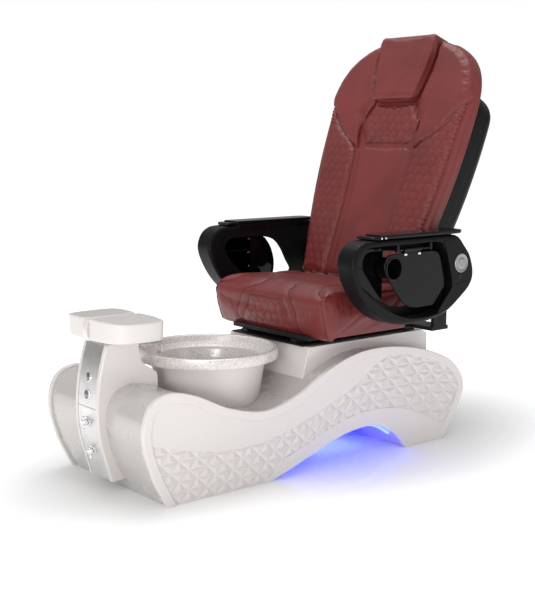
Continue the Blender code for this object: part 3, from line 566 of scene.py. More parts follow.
def make_base_shell(body, arch):
    half = BODY_X - 0.0004
    shell = prism("base_cover", body + arch, -half, half, "X")
    inner_top = offset(body, WALL)
    inner_top[0] = (inner_top[0][0], -0.02)
    inner_top[-1] = (inner_top[-1][0], -0.02)
    inner_arch = offset(arch, WALL)
    inner_arch[0] = (inner_arch[0][0], -0.02)
    inner_arch[-1] = (inner_arch[-1][0], -0.02)
    hollow = prism("hollow", inner_top + inner_arch, -BODY_X + WALL, BODY_X - WALL, "X")
    slot_x = COLUMN_X + 0.0008
    slot = prism("slot", column_outline(0.0008), -slot_x, slot_x, "X")
    mouth = turned("mouth", bowl_outside(0.0006) + [(0.19, 0.45), (0.0, 0.45)], (0.0, BOWL_Y))
    cut(shell, hollow, slot, mouth)
    # The lobes take the darkened pearl, which paints their shade.
    place(shell, "base", "lobe", ["base_shell"])


def half_steps():
    """Places along Y of the relief's half cells, a little closer on the slope between the lobes."""
    def step(y):
        return 0.0328 + 0.0022 * ease((y - 0.5) / 0.3) - 0.006 * math.exp(-((y - 0.57) / 0.11) ** 2)

    places = [0.21]
    while places[-1] < 1.34:
        places.append(places[-1] + step(places[-1]))
    while places[0] > -0.16:
        places.insert(0, places[0] - step(places[0]))
    return places, places.index(0.21)


def relief_height(y, row):
    """Height of a row of the relief above the floor: level, then up over the arch, then level again."""
    spacing = 0.031 + 0.004 * ease((y - 0.45) / 0.35)
    lift = 0.0775 * ease((y - 0.47) / 0.33) - 0.01 * max(0.0, (y - 0.98) / 0.16) ** 2
    return 0.0035 + spacing * row + lift


def make_pyramids(name, sign, low_x, valley_x, peak_x):
    """Rows of triangles, each raised to a point in its middle, as a closed slab."""
    places, first = half_steps()
    bm = bmesh.new()
    stars = {}

    def star(i, j):
        if (i, j) not in stars:
            stars[i, j] = bm.verts.new((sign * valley_x, places[i], relief_height(places[i], j)))
        return stars[i, j]

    for j in range(-5, 11):
        for i in range(len(places) - 2):
            up = (i - first + 1 + j) % 2 == 0
            base = j if up else j + 1
            corners = [star(i, base), star(i + 2, base), star(i + 1, j + 1 if up else j)]
            middle = sum((v.co for v in corners), Vector()) / 3
            middle.x = sign * peak_x
            peak = bm.verts.new(middle)
            for k in range(3):
                bm.faces.new((corners[k], corners[(k + 1) % 3], peak))
    edges = [e for e in bm.edges if len(e.link_faces) == 1]
    sides = bmesh.ops.extrude_edge_only(bm, edges=edges)["geom"]
    for vertex in (g for g in sides if isinstance(g, bmesh.types.BMVert)):
        vertex.co.x = sign * low_x
    bmesh.ops.holes_fill(bm, edges=[e for e in bm.edges if len(e.link_faces) == 1], sides=0)
    return new_object(name, bm)


def make_side_panel(name, sign, side, arch):
    def span(inner, outer):
        return sorted((sign * inner, sign * outer))

    def field(piece_name, outer, inner=0.27):
        line = offset(side, BORDER - 0.0004)
        line[0] = (line[0][0] + 0.008, 0.0)
        line[-1] = (line[-1][0] - 0.008, 0.0)
        return prism(piece_name, line + arch, *span(inner, outer), "X")

    inset = offset(side, 0.004)
    inset[0], inset[-1] = (inset[0][0], 0.0), (inset[-1][0], 0.0)
    back = prism(f"panel_back_{name}", inset + arch, *span(BODY_X + 0.001, 0.2715), "X")
    place(back, "base", "pearl", [f"side_panel_{name}"])

    inner = offset(side, BORDER)
    inner[0], inner[-1] = (inner[0][0] + 0.008, 0.0), (inner[-1][0] - 0.008, 0.0)
    border = prism(f"panel_border_{name}", side + inner[::-1], *span(BODY_X + 0.0004, PANEL_X), "X", 0.0034,
        4, 50.0)
    place(border, "base", "pearl", sharp=50.0)

    top_line = spline(FIELD_TOP, 6)
    low_line = spline(FIELD_LOW, 6)
    above = top_line + [(0.93, 0.6), (-0.3, 0.6), (-0.3, 0.2)]
    below = low_line + [(1.3, 0.0), (1.3, -0.1), (0.345, -0.1)]
    far = span(0.2, 0.4)
    smooth = field(f"panel_field_{name}", 0.2768)
    combine(smooth, [prism("above", above, *far, "X")], "INTERSECT")
    round_edges(smooth, 0.0016, 3, 50.0)
    place(smooth, "base", "pearl", sharp=50.0)

    band = field(f"panel_arch_band_{name}", 0.2772)
    combine(band, [prism("below", below, *far, "X")], "INTERSECT")
    round_edges(band, 0.003, 4, 50.0)
    place(band, "base", "pearl", sharp=50.0)

    relief = make_pyramids(f"panel_pyramids_{name}", sign, 0.268, 0.273, 0.2788)
    combine(relief, [field("room", 0.3, 0.265)], "INTERSECT")
    cut(relief, prism("above", above, *far, "X"), prism("below", below, *far, "X"))
    place(relief, "base", "pearl", sharp=2.0)


def make_pedestal(body):
    front, top_front, top_rear, rear = PEDESTAL_Y
    between = [p for p in body if front < p[0] < rear and p[1] > 0.2]
    foot = [(front, height_on(body, front))] + between + [(rear, height_on(body, rear))]
    foot = [(y, z - 0.002) for y, z in foot]
    crown = spline([(rear, 0.35), (rear - 0.004, 0.374), (top_rear - 0.012, PEDESTAL_TOP)], 5)
    cover = prism("pedestal", foot + crown + [(top_front, PEDESTAL_TOP)], -PEDESTAL_X, PEDESTAL_X, "X",
        0.01, 5, 35.0)
    place(cover, "base", "pearl", ["pedestal_cover"], sharp=50.0)


def make_bowl():
    """A glittering rim and inside, over a plain pearl outer wall."""
    band = [(0.186, 0.356), (0.222, 0.3582), (0.2262, 0.36), (RIM_R, 0.3655), (RIM_R, 0.385),
        (0.2268, 0.3905), (0.2235, RIM_Z), (0.2165, RIM_Z), (0.2125, 0.3905), (0.2098, 0.385)]
    inside = spline([(0.204, 0.372), (0.196, 0.363), (0.183, 0.345), (0.172, 0.29), (0.16, 0.225),
        (0.144, 0.182), (0.124, 0.152), (0.092, 0.138), (0.019, 0.1365)], 5)
    under = [(0.019, 0.1335), (0.094, 0.1335), (0.146, 0.18), (0.173, 0.29), (0.182, 0.345)]
    bowl = turned("bowl_inside", band + inside + under, (0.0, BOWL_Y))
    place(bowl, "base", "glitter", ["foot_bowl"], sharp=40.0)
    outer = bowl_outside()
    wall = outer[1:] + [(0.186, 0.3558), (0.1835, 0.3558)] + [(r - 0.0025, z + 0.001) for r,
        z in outer[:0:-1]]
    body = turned("bowl_outer_wall", wall, (0.0, BOWL_Y))
    place(body, "base", "pearl", ["foot_bowl"])
    drain = [(0.0, 0.12), (0.018, 0.12), (0.018, 0.1372), (0.029, 0.1372), (0.03, 0.138), (0.03, 0.1408),
        (0.0285, 0.1424), (0.0, 0.143)]
    plug = turned("drain_strainer", drain, (0.0, BOWL_Y), 64)
    holes = []
    for ring, count in ((0.009, 6), (0.018, 12)):
        for k in range(count):
            a = 2 * math.pi * k / count
            holes.append(rod(f"hole_{ring}_{k}", 0.0022, (ring * math.cos(a), BOWL_Y + ring * math.sin(a),
                0.139), (0, 0, 1), 0.02, 12))
    cut(plug, *holes)
    place(plug, "base", "chrome", ["bowl_drain"])


def make_jet_grille():
    """Round jet cover on the bowl's wall: a domed cap with slots between its spokes."""
    slope = math.radians(19)
    aim = Vector((math.cos(slope) * math.sqrt(0.5), -math.cos(slope) * math.sqrt(0.5), -math.sin(slope)))
    wall = Vector((0.0, BOWL_Y, 0.205)) + Vector((aim.x, aim.y, 0.0)).normalized() * 0.15
    turn = Matrix.Translation(wall - 0.0005 * aim) @ (-aim).to_track_quat("Z", "Y").to_matrix().to_4x4()
    profile = [(0.0, 0.0)] + [(0.0315, 0.0), (0.032, 0.001), (0.0316, 0.004), (0.029, 0.0068),
        (0.022, 0.008), (0.0, 0.0084)]
    cap = turned("jet_grille", profile, None, 64, turn)
    slots = []
    for k in range(8):
        slot = box(f"slot_{k}", (0.009, 0.024), (-0.0018, 0.0018), (0.0045, 0.02))
        slot.data.transform(turn @ Matrix.Rotation(2 * math.pi * k / 8, 4, "Z"))
        slots.append(slot)
    cut(cap, *slots)
    place(cap, "base", "gloss", ["jet_cover"])


# ---- column ----
def column_front_at(z):
    """Depth of the column's front at a height, and its slope."""
    front = spline(COLUMN_FRONT, 6)
    for low, high in zip(front, front[1:]):
        if low[1] <= z <= high[1]:
            slope = (high[0] - low[0]) / (high[1] - low[1])
            return low[0] + slope * (z - low[1]), slope
    return front[-1][0], 0.0


def outward_at(z):
    """The frame at a height on the mirror plates whose Z points out of them."""
    y, slope = column_front_at(z)
    out = Vector((0.0, -1.0, slope)).normalized()
    point = Vector((0.0, y + PLATE_DEPTH - 0.0028, z))
    return Matrix.Translation(point) @ out.to_track_quat("Z", "Y").to_matrix().to_4x4()


def make_column():
    column = prism("column", column_outline(), -COLUMN_X, COLUMN_X, "X", 0.0065, 4, 40.0)
    bake(column)
    front = spline(COLUMN_FRONT, 6)
    rear = offset(front, PLATE_DEPTH)[::-1]
    groove = [(-0.1, 0.0)] + offset(front, -0.03) + rear + [(rear[-1][0], 0.0)]
    cut(column, prism("groove", groove, -PLATE_X - 0.001, PLATE_X + 0.001, "X"),
        box("post_hole", (-0.0235, 0.0235), (-0.0125, 0.0365), (0.4, 0.5)))
    place(column, "base", "pearl", ["column_shell"], sharp=40.0)

    for name, low, high in (("upper", PLATE_SPLIT_Z + 0.001, COLUMN_TOP_Z - 0.003),
            ("lower", 0.04, PLATE_SPLIT_Z)):
        heights = [low + (high - low) * k / 24 for k in range(25)]
        face = [(column_front_at(z)[0] + 0.0012, z) for z in heights]
        back = [(column_front_at(z)[0] + PLATE_DEPTH - 0.0006, z) for z in heights]
        plate = prism(f"mirror_plate_{name}", face + back[::-1], -PLATE_X, PLATE_X, "X", 0.0008, 2, 50.0)
        place(plate, "base", "mirror", [f"control_plate_{name}"])


def make_controls():
    for name, z, radius in (("jet", JET_Z, 0.012), ("drain", DRAIN_Z, 0.014)):
        turn = outward_at(z)
        collar = turned(f"{name}_collar", [(radius + 0.0004, 0.0), (radius + 0.0034, 0.0),
            (radius + 0.0034, 0.0012), (radius + 0.0024, 0.0024), (radius + 0.0004, 0.0026)], None, 48,
            turn)
        place(collar, "base", "chrome")
        button = turned(f"{name}_push_button", [(0.0, -0.01), (radius, -0.01), (radius, 0.002),
            (radius - 0.001, 0.0034), (radius * 0.78, 0.0036), (radius * 0.72, 0.0028),
            (radius * 0.66, 0.005), (radius * 0.4, 0.0062), (0.0, 0.0066)], None, 48, turn)
        place(button, f"{name}_switch", "silver", [f"{name}_button"])
    for name, z in (("hot", HOT_Z), ("cold", COLD_Z)):
        turn = outward_at(z)
        flange = turned(f"{name}_flange", [(0.009, 0.0), (0.0162, 0.0), (0.0158, 0.0014), (0.0126, 0.0026),
            (0.009, 0.0028)], None, 48, turn)
        place(flange, "base", "chrome")
        lever = turned(f"{name}_cross_handle", [(0.0, -0.008), (0.0064, -0.008), (0.0064, 0.004),
            (0.01, 0.0046), (0.0106, 0.007), (0.0106, 0.016), (0.009, 0.0185), (0.0045, 0.02),
            (0.0, 0.0204)], None, 48, turn)
        arms = []
        for k in range(4):
            spin = turn @ Matrix.Rotation(math.pi / 2 * k, 4, "Z") @ Matrix.Translation((0, 0, 0.0125))
            spin = spin @ Matrix.Rotation(math.pi / 2, 4, "Y")
            length = 0.019 if k % 2 else 0.016
            arms.append(turned(f"arm_{k}", [(0.0, 0.0), (0.004, 0.0), (0.0032, 0.011),
                (0.0036, length - 0.004), (0.0046, length - 0.002), (0.003, length),
                (0.0, length + 0.0008)], None, 24, spin))
        join(lever, *arms)
        place(lever, f"{name}_handle", "chrome", [f"{name}_lever"])


def make_footrest():
    low, high = FOOTREST_Z
    rib_side = spline([(-0.09, low - 0.003), (-0.1, low + 0.022), (-0.097, high - 0.012),
        (-0.08, high + 0.003), (-0.03, high + 0.005), (0.06, high + 0.003), (0.084, high - 0.006),
        (0.09, low + 0.02), (0.086, low - 0.003)], 6)
    rib = prism("footrest_bridge", rib_side, -0.0122, 0.0122, "X", 0.004, 4, 40.0)
    place(rib, "footrest", "pearl", ["footrest_rib"], sharp=60.0)
    plan = spline(FOOTREST_POINTS, 8)
    for name, outline in (("left", plan), ("right", mirrored(plan))):
        pad = prism(f"footrest_foot_{name}", outline, low, high, "Z", 0.017, 8, 50.0)
        bake(pad)
        for vertex in pad.data.vertices:
            x, z = vertex.co.x, vertex.co.z
            share = (z - low) / (high - low)
            vertex.co.z += share * (0.003 - 0.1 * max(0.0, abs(x) - 0.09))
            vertex.co.x *= 1.01 + 0.04 * share
        place(pad, "footrest", "pearl", [f"footrest_pad_{name}"], sharp=60.0)


# ---- armrests ----
def facing_out(sign, x, y, z):
    """The frame of a turned piece whose axis points sideways, out of the chair."""
    return Matrix.Translation((sign * x, y, z)) @ Matrix.Rotation(sign * math.pi / 2, 4, "Y")


def make_arm_frame(name, sign, span):
    outline = spline(ARM_POINTS, 8, closed=True)
    body = prism(f"arm_body_{name}", outline, *span(*ARM_X), "X", 0.013, 6, 50.0)
    bake(body)
    recess = prism("recess", spline(RECESS_POINTS, 8, closed=True), *span(FLANGE_X, 0.43), "X")
    window = prism("window", spline(WINDOW_POINTS, 8, closed=True), *span(0.3, 0.35), "X")
    bore = rod("bore", 0.0124, (sign * 0.32, *ARM_PIVOT), (sign, 0, 0), 0.11)
    cut(body, recess, window, bore)
    round_edges(body, 0.0035, 4, 55.0)
    place(body, f"arm_{name}", "matt", [f"arm_frame_{name}"], sharp=50.0)

    front = [(1.016, 0.7235), (1.034, 0.672), (1.059, 0.58), (1.046, 0.552), (1.022, 0.526), (0.998, 0.497),
        (0.99, 0.48)]
    rear = [(1.04, 0.494), (1.098, 0.529), (1.146, 0.568), (1.16, 0.61), (1.144, 0.664), (1.117, 0.698),
        (1.086, 0.7265)]
    cover = prism(f"arm_rear_cover_{name}", spline(front, 6) + spline(rear, 6),
        *span(ARM_X[1] - 0.004, ARM_X[1] + 0.0022), "X", 0.002, 3, 40.0)
    bake(cover)
    seam = [(1.062, 0.5705), (1.15, 0.5865)]
    groove = tube("seam", [(sign * (ARM_X[1] + 0.0024), *p) for p in seam], 0.001)
    socket = rod("socket", 0.0085, (sign * 0.4, 1.093, 0.6005), (sign, 0, 0), 0.03)
    cut(cover, groove, socket)
    place(cover, f"arm_{name}", "matt", sharp=40.0)
    turn = facing_out(sign, ARM_X[1] + 0.001, 1.093, 0.6005)
    ring = turned(f"arm_socket_{name}", [(0.0, -0.003), (0.008, -0.003), (0.0082, 0.0018), (0.0062, 0.0024),
        (0.0052, 0.001), (0.0, 0.0008)], None, 40, turn)
    place(ring, f"arm_{name}", "gloss")


def make_arm_pivot(name, sign):
    turn = facing_out(sign, ARM_X[1] + 0.0003, *ARM_PIVOT)
    cap = turned(f"arm_pivot_cap_{name}", [(0.0, -0.098), (0.0118, -0.098), (0.0118, 0.0), (0.032, 0.0),
        (0.0322, 0.003), (0.0308, 0.005), (0.0292, 0.0055), (0.0272, 0.0048), (0.0262, 0.004),
        (0.017, 0.0036), (0.015, 0.005), (0.0128, 0.0054), (0.0, 0.0042)], None, 64, turn)
    place(cap, f"arm_{name}", "silver", [f"arm_pivot_pin_{name}"], sharp=40.0)


def make_arm_lid(name, sign, span):
    plan = [(0.733, 0.3285), (0.733, 0.413), (1.085, 0.4135), (1.1, 0.409), (1.109, 0.396), (1.11, 0.34),
        (1.104, 0.331), (1.095, 0.3285)]
    lid = prism(f"arm_lid_top_{name}", [(sign * x, y) for y, x in plan], 0.7435, 0.7568, "Z", 0.0042, 4, 40.0)
    place(lid, f"arm_{name}", "gloss", [f"arm_lid_{name}"], sharp=50.0)
    tip = [(0.69, 0.331), (0.69, 0.39), (0.698, 0.402), (0.712, 0.412), (0.7315, 0.4125), (0.7315, 0.33)]
    nose = prism(f"arm_lid_front_{name}", [(sign * x, y) for y, x in tip], 0.7425, 0.752, "Z", 0.003, 4, 40.0)
    place(nose, f"arm_{name}", "gloss", sharp=50.0)
    skirt_side = [(0.738, 0.744), (0.738, 0.73), (0.746, 0.722), (1.07, 0.722), (1.092, 0.726),
        (1.104, 0.744)]
    skirt = prism(f"arm_lid_skirt_{name}", skirt_side, *span(0.3262, 0.33), "X", 0.0016, 3, 40.0)
    place(skirt, f"arm_{name}", "gloss", sharp=50.0)
    for number, y in enumerate((0.722, 0.74)):
        stud = rod(f"lid_hinge_screw_{name}_{number}", 0.0032, (sign * 0.4125, y, 0.7475), (sign, 0, 0),
            0.0026, 24, 0.0008)
        place(stud, f"arm_{name}", "chrome")


def make_backplate(name, sign, span):
    """Gloss panel in the front of the recess, in two levels, with a row of screws on its inner side."""
    upper = [(0.65, 0.653), (0.662, 0.69), (0.69, 0.7085), (0.8, 0.7085), (0.8, 0.651), (0.652, 0.651)]
    lower = [(0.654, 0.6485), (0.8, 0.6485), (0.8, 0.533), (0.762, 0.5485), (0.7, 0.595), (0.664, 0.632)]
    whole = [(0.654, 0.64), (0.662, 0.69), (0.69, 0.708), (0.799, 0.708), (0.799, 0.5345), (0.762, 0.549),
        (0.7, 0.5955), (0.664, 0.632)]
    plate = prism(f"arm_plate_{name}", whole, *span(FLANGE_X + 0.0002, FLANGE_X + 0.0022), "X", 0.0006, 2,
        30.0)
    place(plate, f"arm_{name}", "gloss", [f"arm_backplate_{name}"], sharp=50.0)
    for part, outline, depth in (("upper", upper, 0.0048), ("lower", lower, 0.0036)):
        panel = prism(f"arm_panel_{part}_{name}", outline, *span(FLANGE_X + 0.0002, FLANGE_X + depth), "X",
            0.0012, 3, 30.0)
        place(panel, f"arm_{name}", "gloss", sharp=50.0)
    for number, z in enumerate((0.69, 0.64, 0.59, 0.55)):
        screw = rod(f"panel_screw_{name}_{number}", 0.0028, (sign * (FLANGE_X + 0.0006), 0.789, z),
            (-sign, 0, 0), 0.0022, 20, 0.0006)
        place(screw, f"arm_{name}", "chrome")


def make_tray(name, sign, span):
    shift = TRAY_SHIFT[name]
    body = f"folding_tray_{name}"
    hinge_x, hinge_z = TRAY_AXIS
    cup_y, cup_z = CUP[0] + shift, CUP[1]
    plan = [(y + shift, z) for y, z in spline(TRAY_POINTS, 8, closed=True)]
    tray = prism(f"tray_panel_{name}", plan, *span(*TRAY_X), "X", 0.0022, 4, 50.0)
    bake(tray)
    outer = rod("tube", CUP_R + 0.0025, (sign * TRAY_X[1], cup_y, cup_z), (-sign, 0, 0), 0.044, 72)
    knuckle = rod("knuckle", 0.0075, (sign * hinge_x, 0.845 + shift, hinge_z), (0, 1, 0), 0.08, 32)
    neck = box("neck", span(hinge_x - 0.0025, hinge_x + 0.0025), (0.847 + shift, 0.923 + shift),
        (0.688, hinge_z))
    join(tray, outer, knuckle, neck)
    cut(tray, rod("bore", CUP_R, (sign * 0.4, cup_y, cup_z), (-sign, 0, 0), 0.049, 72),
        rod("pin_hole", 0.0045, (sign * hinge_x, 0.7 + shift, hinge_z), (0, 1, 0), 0.4, 24))
    place(tray, body, "gloss", [f"tray_{name}"], sharp=50.0)
    turn = facing_out(sign, TRAY_X[1] + 0.0001, cup_y, cup_z)
    ring = turned(f"cup_ring_{name}", [(CUP_R - 0.0012, -0.01), (CUP_R + 0.0006, -0.01),
        (CUP_R + 0.0006, 0.0), (CUP_R + 0.004, 0.0), (CUP_R + 0.0042, 0.0016), (CUP_R + 0.002, 0.003),
        (CUP_R, 0.0024), (CUP_R - 0.0012, 0.0)], None, 96, turn)
    place(ring, body, "gloss", sharp=40.0)
    for number, y in enumerate((0.852, 0.916)):
        plate = box(f"hinge_leaf_{name}_{number}", span(TRAY_X[1] + 0.0002, TRAY_X[1] + 0.0018),
            (y + shift - 0.006, y + shift + 0.006), (0.684, 0.69), 0.0006, 2)
        place(plate, body, "chrome")


def make_tray_rod(name, sign, span):
    hinge_x, hinge_z = TRAY_AXIS
    start = 0.808 + TRAY_SHIFT[name]
    end = start + 0.17
    pin = rod(f"tray_pin_{name}", 0.004, (sign * hinge_x, start, hinge_z), (0, 1, 0), end - start, 32, 0.0008)
    lugs = [box("lug", span(hinge_x - 0.006, hinge_x + 0.006), (y, y + 0.012), (0.6965, 0.721), 0.0022,
        3) for y in (start + 0.002, end - 0.014)]
    join(pin, *lugs)
    place(pin, f"arm_{name}", "gloss", [f"tray_rod_{name}"], sharp=50.0)


def make_arm(name, sign):
    def span(inner, outer):
        return sorted((sign * inner, sign * outer))

    make_arm_frame(name, sign, span)
    make_arm_pivot(name, sign)
    for make in (make_arm_lid, make_backplate, make_tray, make_tray_rod):
        make(name, sign, span)


# ---- back shell ----
def back_half_width(height):
    """Half width of the back cushion at a height along the back: a slow flare, then a full round top."""
    flare, shoulder, crown = 0.262, 0.62, 0.285
    if height < shoulder:
        return flare + (0.357 - flare) * math.sin(math.pi / 2 * (max(height, 0.0) / shoulder) ** 0.85)
    return 0.357 * max(0.0, 1.0 - ((height - shoulder) / crown) ** 2.7) ** (1 / 2.7)


def back_outline(inset=0.0, foot=0.0, crown=0.285, steps=30):
    shoulder = 0.62
    right = []
    for k in range(16):
        height = foot + (shoulder - foot) * k / 16
        right.append((back_half_width(height) - inset, height))
    for k in range(steps):
        rise = math.sin(math.pi / 2 * k / steps)
        right.append((back_half_width(shoulder + 0.285 * rise) - inset, shoulder + crown * rise))
    return right + [(0.0, shoulder + crown)] + [(-x, h) for x, h in reversed(right)]


def make_back_shell():
    """Moulded tub behind the cushion: a matt side band, a step, and a deeper rear part with a hatch."""
    tub = prism("back_tub", back_outline(0.034, 0.03, SHELL_CROWN), SHELL_FRONT, SHELL_REAR, "Y", 0.056, 8,
        40.0)
    bake(tub)
    room = prism("room", back_outline(0.04, -0.03, SHELL_CROWN - WALL), SHELL_FRONT - 0.05,
        SHELL_REAR - WALL, "Y", 0.052, 8, 40.0)
    bake(room)
    cut(tub, room)
    place(tub, "back", "matt", ["back_shell"], BACK, sharp=50.0)
    collar = prism("back_side_band", back_outline(0.03, 0.026, SHELL_CROWN + 0.003), SHELL_FRONT + 0.0002,
        0.098, "Y", 0.0035, 4, 40.0)
    bake(collar)
    hole = prism("hole", back_outline(0.037, -0.03, SHELL_CROWN - 0.003), 0.03, 0.15, "Y")
    cut(collar, hole)
    place(collar, "back", "matt", (), BACK, sharp=50.0)
    outline = [(0.15, 0.2), (0.172, 0.33), (0.19, 0.45), (0.185, 0.58), (0.14, 0.66)]
    right = spline(outline, 6)
    hatch = prism("back_hatch", right + [(-x, s) for x, s in reversed(right)], SHELL_REAR + 0.0003,
        SHELL_REAR + 0.009, "Y", 0.005, 5, 40.0)
    place(hatch, "back", "gloss", ["back_rear_cover"], BACK, sharp=50.0)
    for number, (x, s) in enumerate(((0.125, 0.225), (0.165, 0.56), (-0.125, 0.225), (-0.165, 0.56))):
        screw = rod(f"hatch_screw_{number}", 0.005, (x, SHELL_REAR + 0.0085, s), (0, 1, 0), 0.002, 32, 0.0007)
        place(screw, "back", "chrome", (), BACK)
    for side_name, sign in SIDES:
        for k in range(7):
            s = 0.285 + 0.03 * k
            rib = box(f"vent_rib_{side_name}_{k}", sorted((sign * 0.02, sign * 0.12)),
                (SHELL_REAR + 0.0085, SHELL_REAR + 0.0112), (s, s + 0.008), 0.0022, 3)
            place(rib, "back", "matt", (), BACK)


# ---- leather ----
def inflate(piece, voxel, cap, held, pressure=4.0):
    """Fills a leather cover: remeshed and blown up as cloth, with no point moved further than cap."""
    bake(piece)
    remesh = piece.modifiers.new("Remesh", "REMESH")
    remesh.mode = "VOXEL"
    remesh.voxel_size = voxel
    bake(piece)
    rest = points_of(piece)
    weights = np.clip(held(rest), 0.0, 1.0)
    group = piece.vertex_groups.new(name="held")
    for index in np.nonzero(weights > 0.02)[0]:
        group.add([int(index)], float(weights[index]), "REPLACE")
    cloth = piece.modifiers.new("Cloth", "CLOTH")
    settings = cloth.settings
    settings.quality = 5
    settings.mass = 0.3
    settings.tension_stiffness = settings.compression_stiffness = 15.0
    settings.shear_stiffness = 5.0
    settings.bending_stiffness = 0.5
    settings.use_pressure = True
    settings.uniform_pressure_force = pressure
    settings.vertex_group_mass = "held"
    settings.effector_weights.gravity = 0.0
    for number in range(1, 21):
        bpy.context.scene.frame_set(number)
    bake(piece)
    bpy.context.scene.frame_set(1)
    blown = points_of(piece)
    travel = blown - rest
    far = np.linalg.norm(travel, axis=1, keepdims=True)
    set_points(piece, rest + travel * np.minimum(1.0, cap / np.maximum(far, 1e-9)))
    fine = piece.modifiers.new("Subdivision", "SUBSURF")
    fine.levels = fine.render_levels = 1
    return bake(piece)


def points_of(piece):
    values = np.zeros(len(piece.data.vertices) * 3)
    piece.data.vertices.foreach_get("co", values)
    return values.reshape(-1, 3)


def set_points(piece, points):
    piece.data.vertices.foreach_set("co", np.asarray(points, float).ravel())
    piece.data.update()


def normals_of(piece):
    values = np.zeros(len(piece.data.vertices) * 3)
    piece.data.vertices.foreach_get("normal", values)
    return values.reshape(-1, 3)


def push(piece, amount):
    """Moves each point along its normal by so much."""
    set_points(piece, points_of(piece) + normals_of(piece) * amount[:, None])


def line_distance(points, line):
    """Distance from each point to a line of points."""
    best = np.full(len(points), 1e9)
    line = np.asarray(line, float)
    for a, b in zip(line, line[1:]):
        along = b - a
        t = np.clip(((points - a) @ along) / max(along @ along, 1e-12), 0.0, 1.0)
        best = np.minimum(best, np.linalg.norm(points - a - t[:, None] * along, axis=1))
    return best


HEX = 0.036       # flat-to-flat size of the quilting's hexagons


def hex_distance(u, v):
    """Distance to the nearest side of a hexagon, for points on a plane."""
    cell = np.array([1.0, math.sqrt(3.0)])
    p = np.stack([u, v], 1) / HEX
    one = np.mod(p, cell) - cell / 2
    two = np.mod(p - cell / 2, cell) - cell / 2
    near = np.where(((one ** 2).sum(1) < (two ** 2).sum(1))[:, None], one, two)
    reach = np.maximum(np.abs(near[:, 0]), np.abs(near[:, 0]) * 0.5 + np.abs(near[:, 1]) * math.sqrt(0.75))
    return (0.5 - reach) * HEX


def hex_lines(low, high, inside, samples=7):
    """The hexagons' sides as lines on the plane, where they lie inside the quilted area."""
    lines = []
    rise = math.sqrt(3.0) * HEX
    for i in range(math.floor(low[0] / HEX) - 1, math.ceil(high[0] / HEX) + 2):
        for j in range(math.floor(low[1] / rise) - 1, math.ceil(high[1] / rise) + 2):
            for shift in (0.0, 0.5):
                middle = Vector(((i + 0.5 + shift) * HEX, (j + 0.5 + shift) * rise))
                radius = HEX / math.sqrt(3.0)
                corners = [middle + radius * Vector((math.sin(math.pi / 3 * k), math.cos(math.pi / 3 * k)))
                    for k in (0, 1, 2, 3)]
                for a, b in zip(corners, corners[1:]):
                    line = [a.lerp(b, t / (samples - 1)) for t in range(samples)]
                    line = [p for p in line if inside(p.x, p.y)]
                    if len(line) > 1:
                        lines.append(line)
    return lines


def quilt(piece, u, v, share, depth=0.0006, puff=0.0008):
    """Sinks the hexagons' sides into the cover and lets their middles stand proud, where share is 1."""
    gap = hex_distance(u, v)
    push(piece, share * (puff * (1 - np.exp(-(gap / 0.008) ** 2)) - depth * np.exp(-(gap / 0.0026) ** 2)))


def thread_lines(name, piece, lines, lay, radius=0.00042):
    """Thread along lines on a cover. lay(tree, point) finds the place on the cover for a point."""
    tree = BVHTree.FromObject(piece, bpy.context.evaluated_depsgraph_get())
    bm = bmesh.new()
    for line in lines:
        laid = [lay(tree, point)[0] for point in line]
        laid = [point for point in laid if point is not None]
        if len(laid) > 1:
            sweep(bm, laid, radius, 5)
    return new_object(name, bm)


def within(outline):
    """A test for points inside a closed outline."""
    def inside(x, y):
        found = False
        for (ax, ay), (bx, by) in zip(outline, outline[1:] + outline[:1]):
            if (ay > y) != (by > y) and x < (bx - ax) * (y - ay) / (by - ay) + ax:
                found = not found
        return found
    return inside


def soft_pad(name, outline, front, rear, rounding, voxel=0.0055, cap=0.01, pressure=4.0):
    """A cushion of the back: an outline in (across, height), filled from its pinned rear forwards."""
    pad = prism(name, outline, front, rear, "Y", rounding, 5, 25.0)
    inflate(pad, voxel, cap, lambda p: (p[:, 1] - (rear - 0.01)) / 0.008, pressure)
    return pad


def finish_pad(pad, body, nodes=(), matrix=BACK):
    place(pad, body, "leather", nodes, matrix, sharp=0)


BOLSTER = [(0.119, 0.002), (0.124, 0.27), (0.131, 0.38), (0.141, 0.484), (0.168, 0.517), (0.216, 0.556),
    (0.27, 0.602), (0.326, 0.658), (0.324, 0.56), (0.316, 0.455), (0.306, 0.346), (0.294, 0.238),
    (0.274, 0.12), (0.247, 0.002)]
BACK_REAR = 0.042     # rear of the leather, where the shell starts
NECK_PAD = [(-0.1, 0.657), (0.1, 0.657), (0.138, 0.588), (0.136, 0.556), (0.104, 0.503), (-0.104, 0.503),
    (-0.136, 0.556), (-0.138, 0.588)]


def wing_outline():
    """One wing: its tip, lower edge, the back's round top, and the sides of headrest and neck pad."""
    lower = spline([(0.136, 0.486), (0.2, 0.514), (0.262, 0.562), (0.306, 0.612), (0.338, 0.656)], 5)
    steps = 16
    top = []
    for k in range(1, steps + 1):
        rise = math.sin(math.pi / 2 * k / steps * 0.93)
        height = 0.66 + (0.893 - 0.66) * rise / math.sin(math.pi / 2 * 0.93)
        top.append((max(back_half_width(height) - 0.012, 0.14), height))
    inner = [(0.1375, 0.88), (0.1205, 0.78), (0.1015, 0.664), (0.12, 0.625), (0.1395, 0.59), (0.1385, 0.53)]
    return lower + top + inner


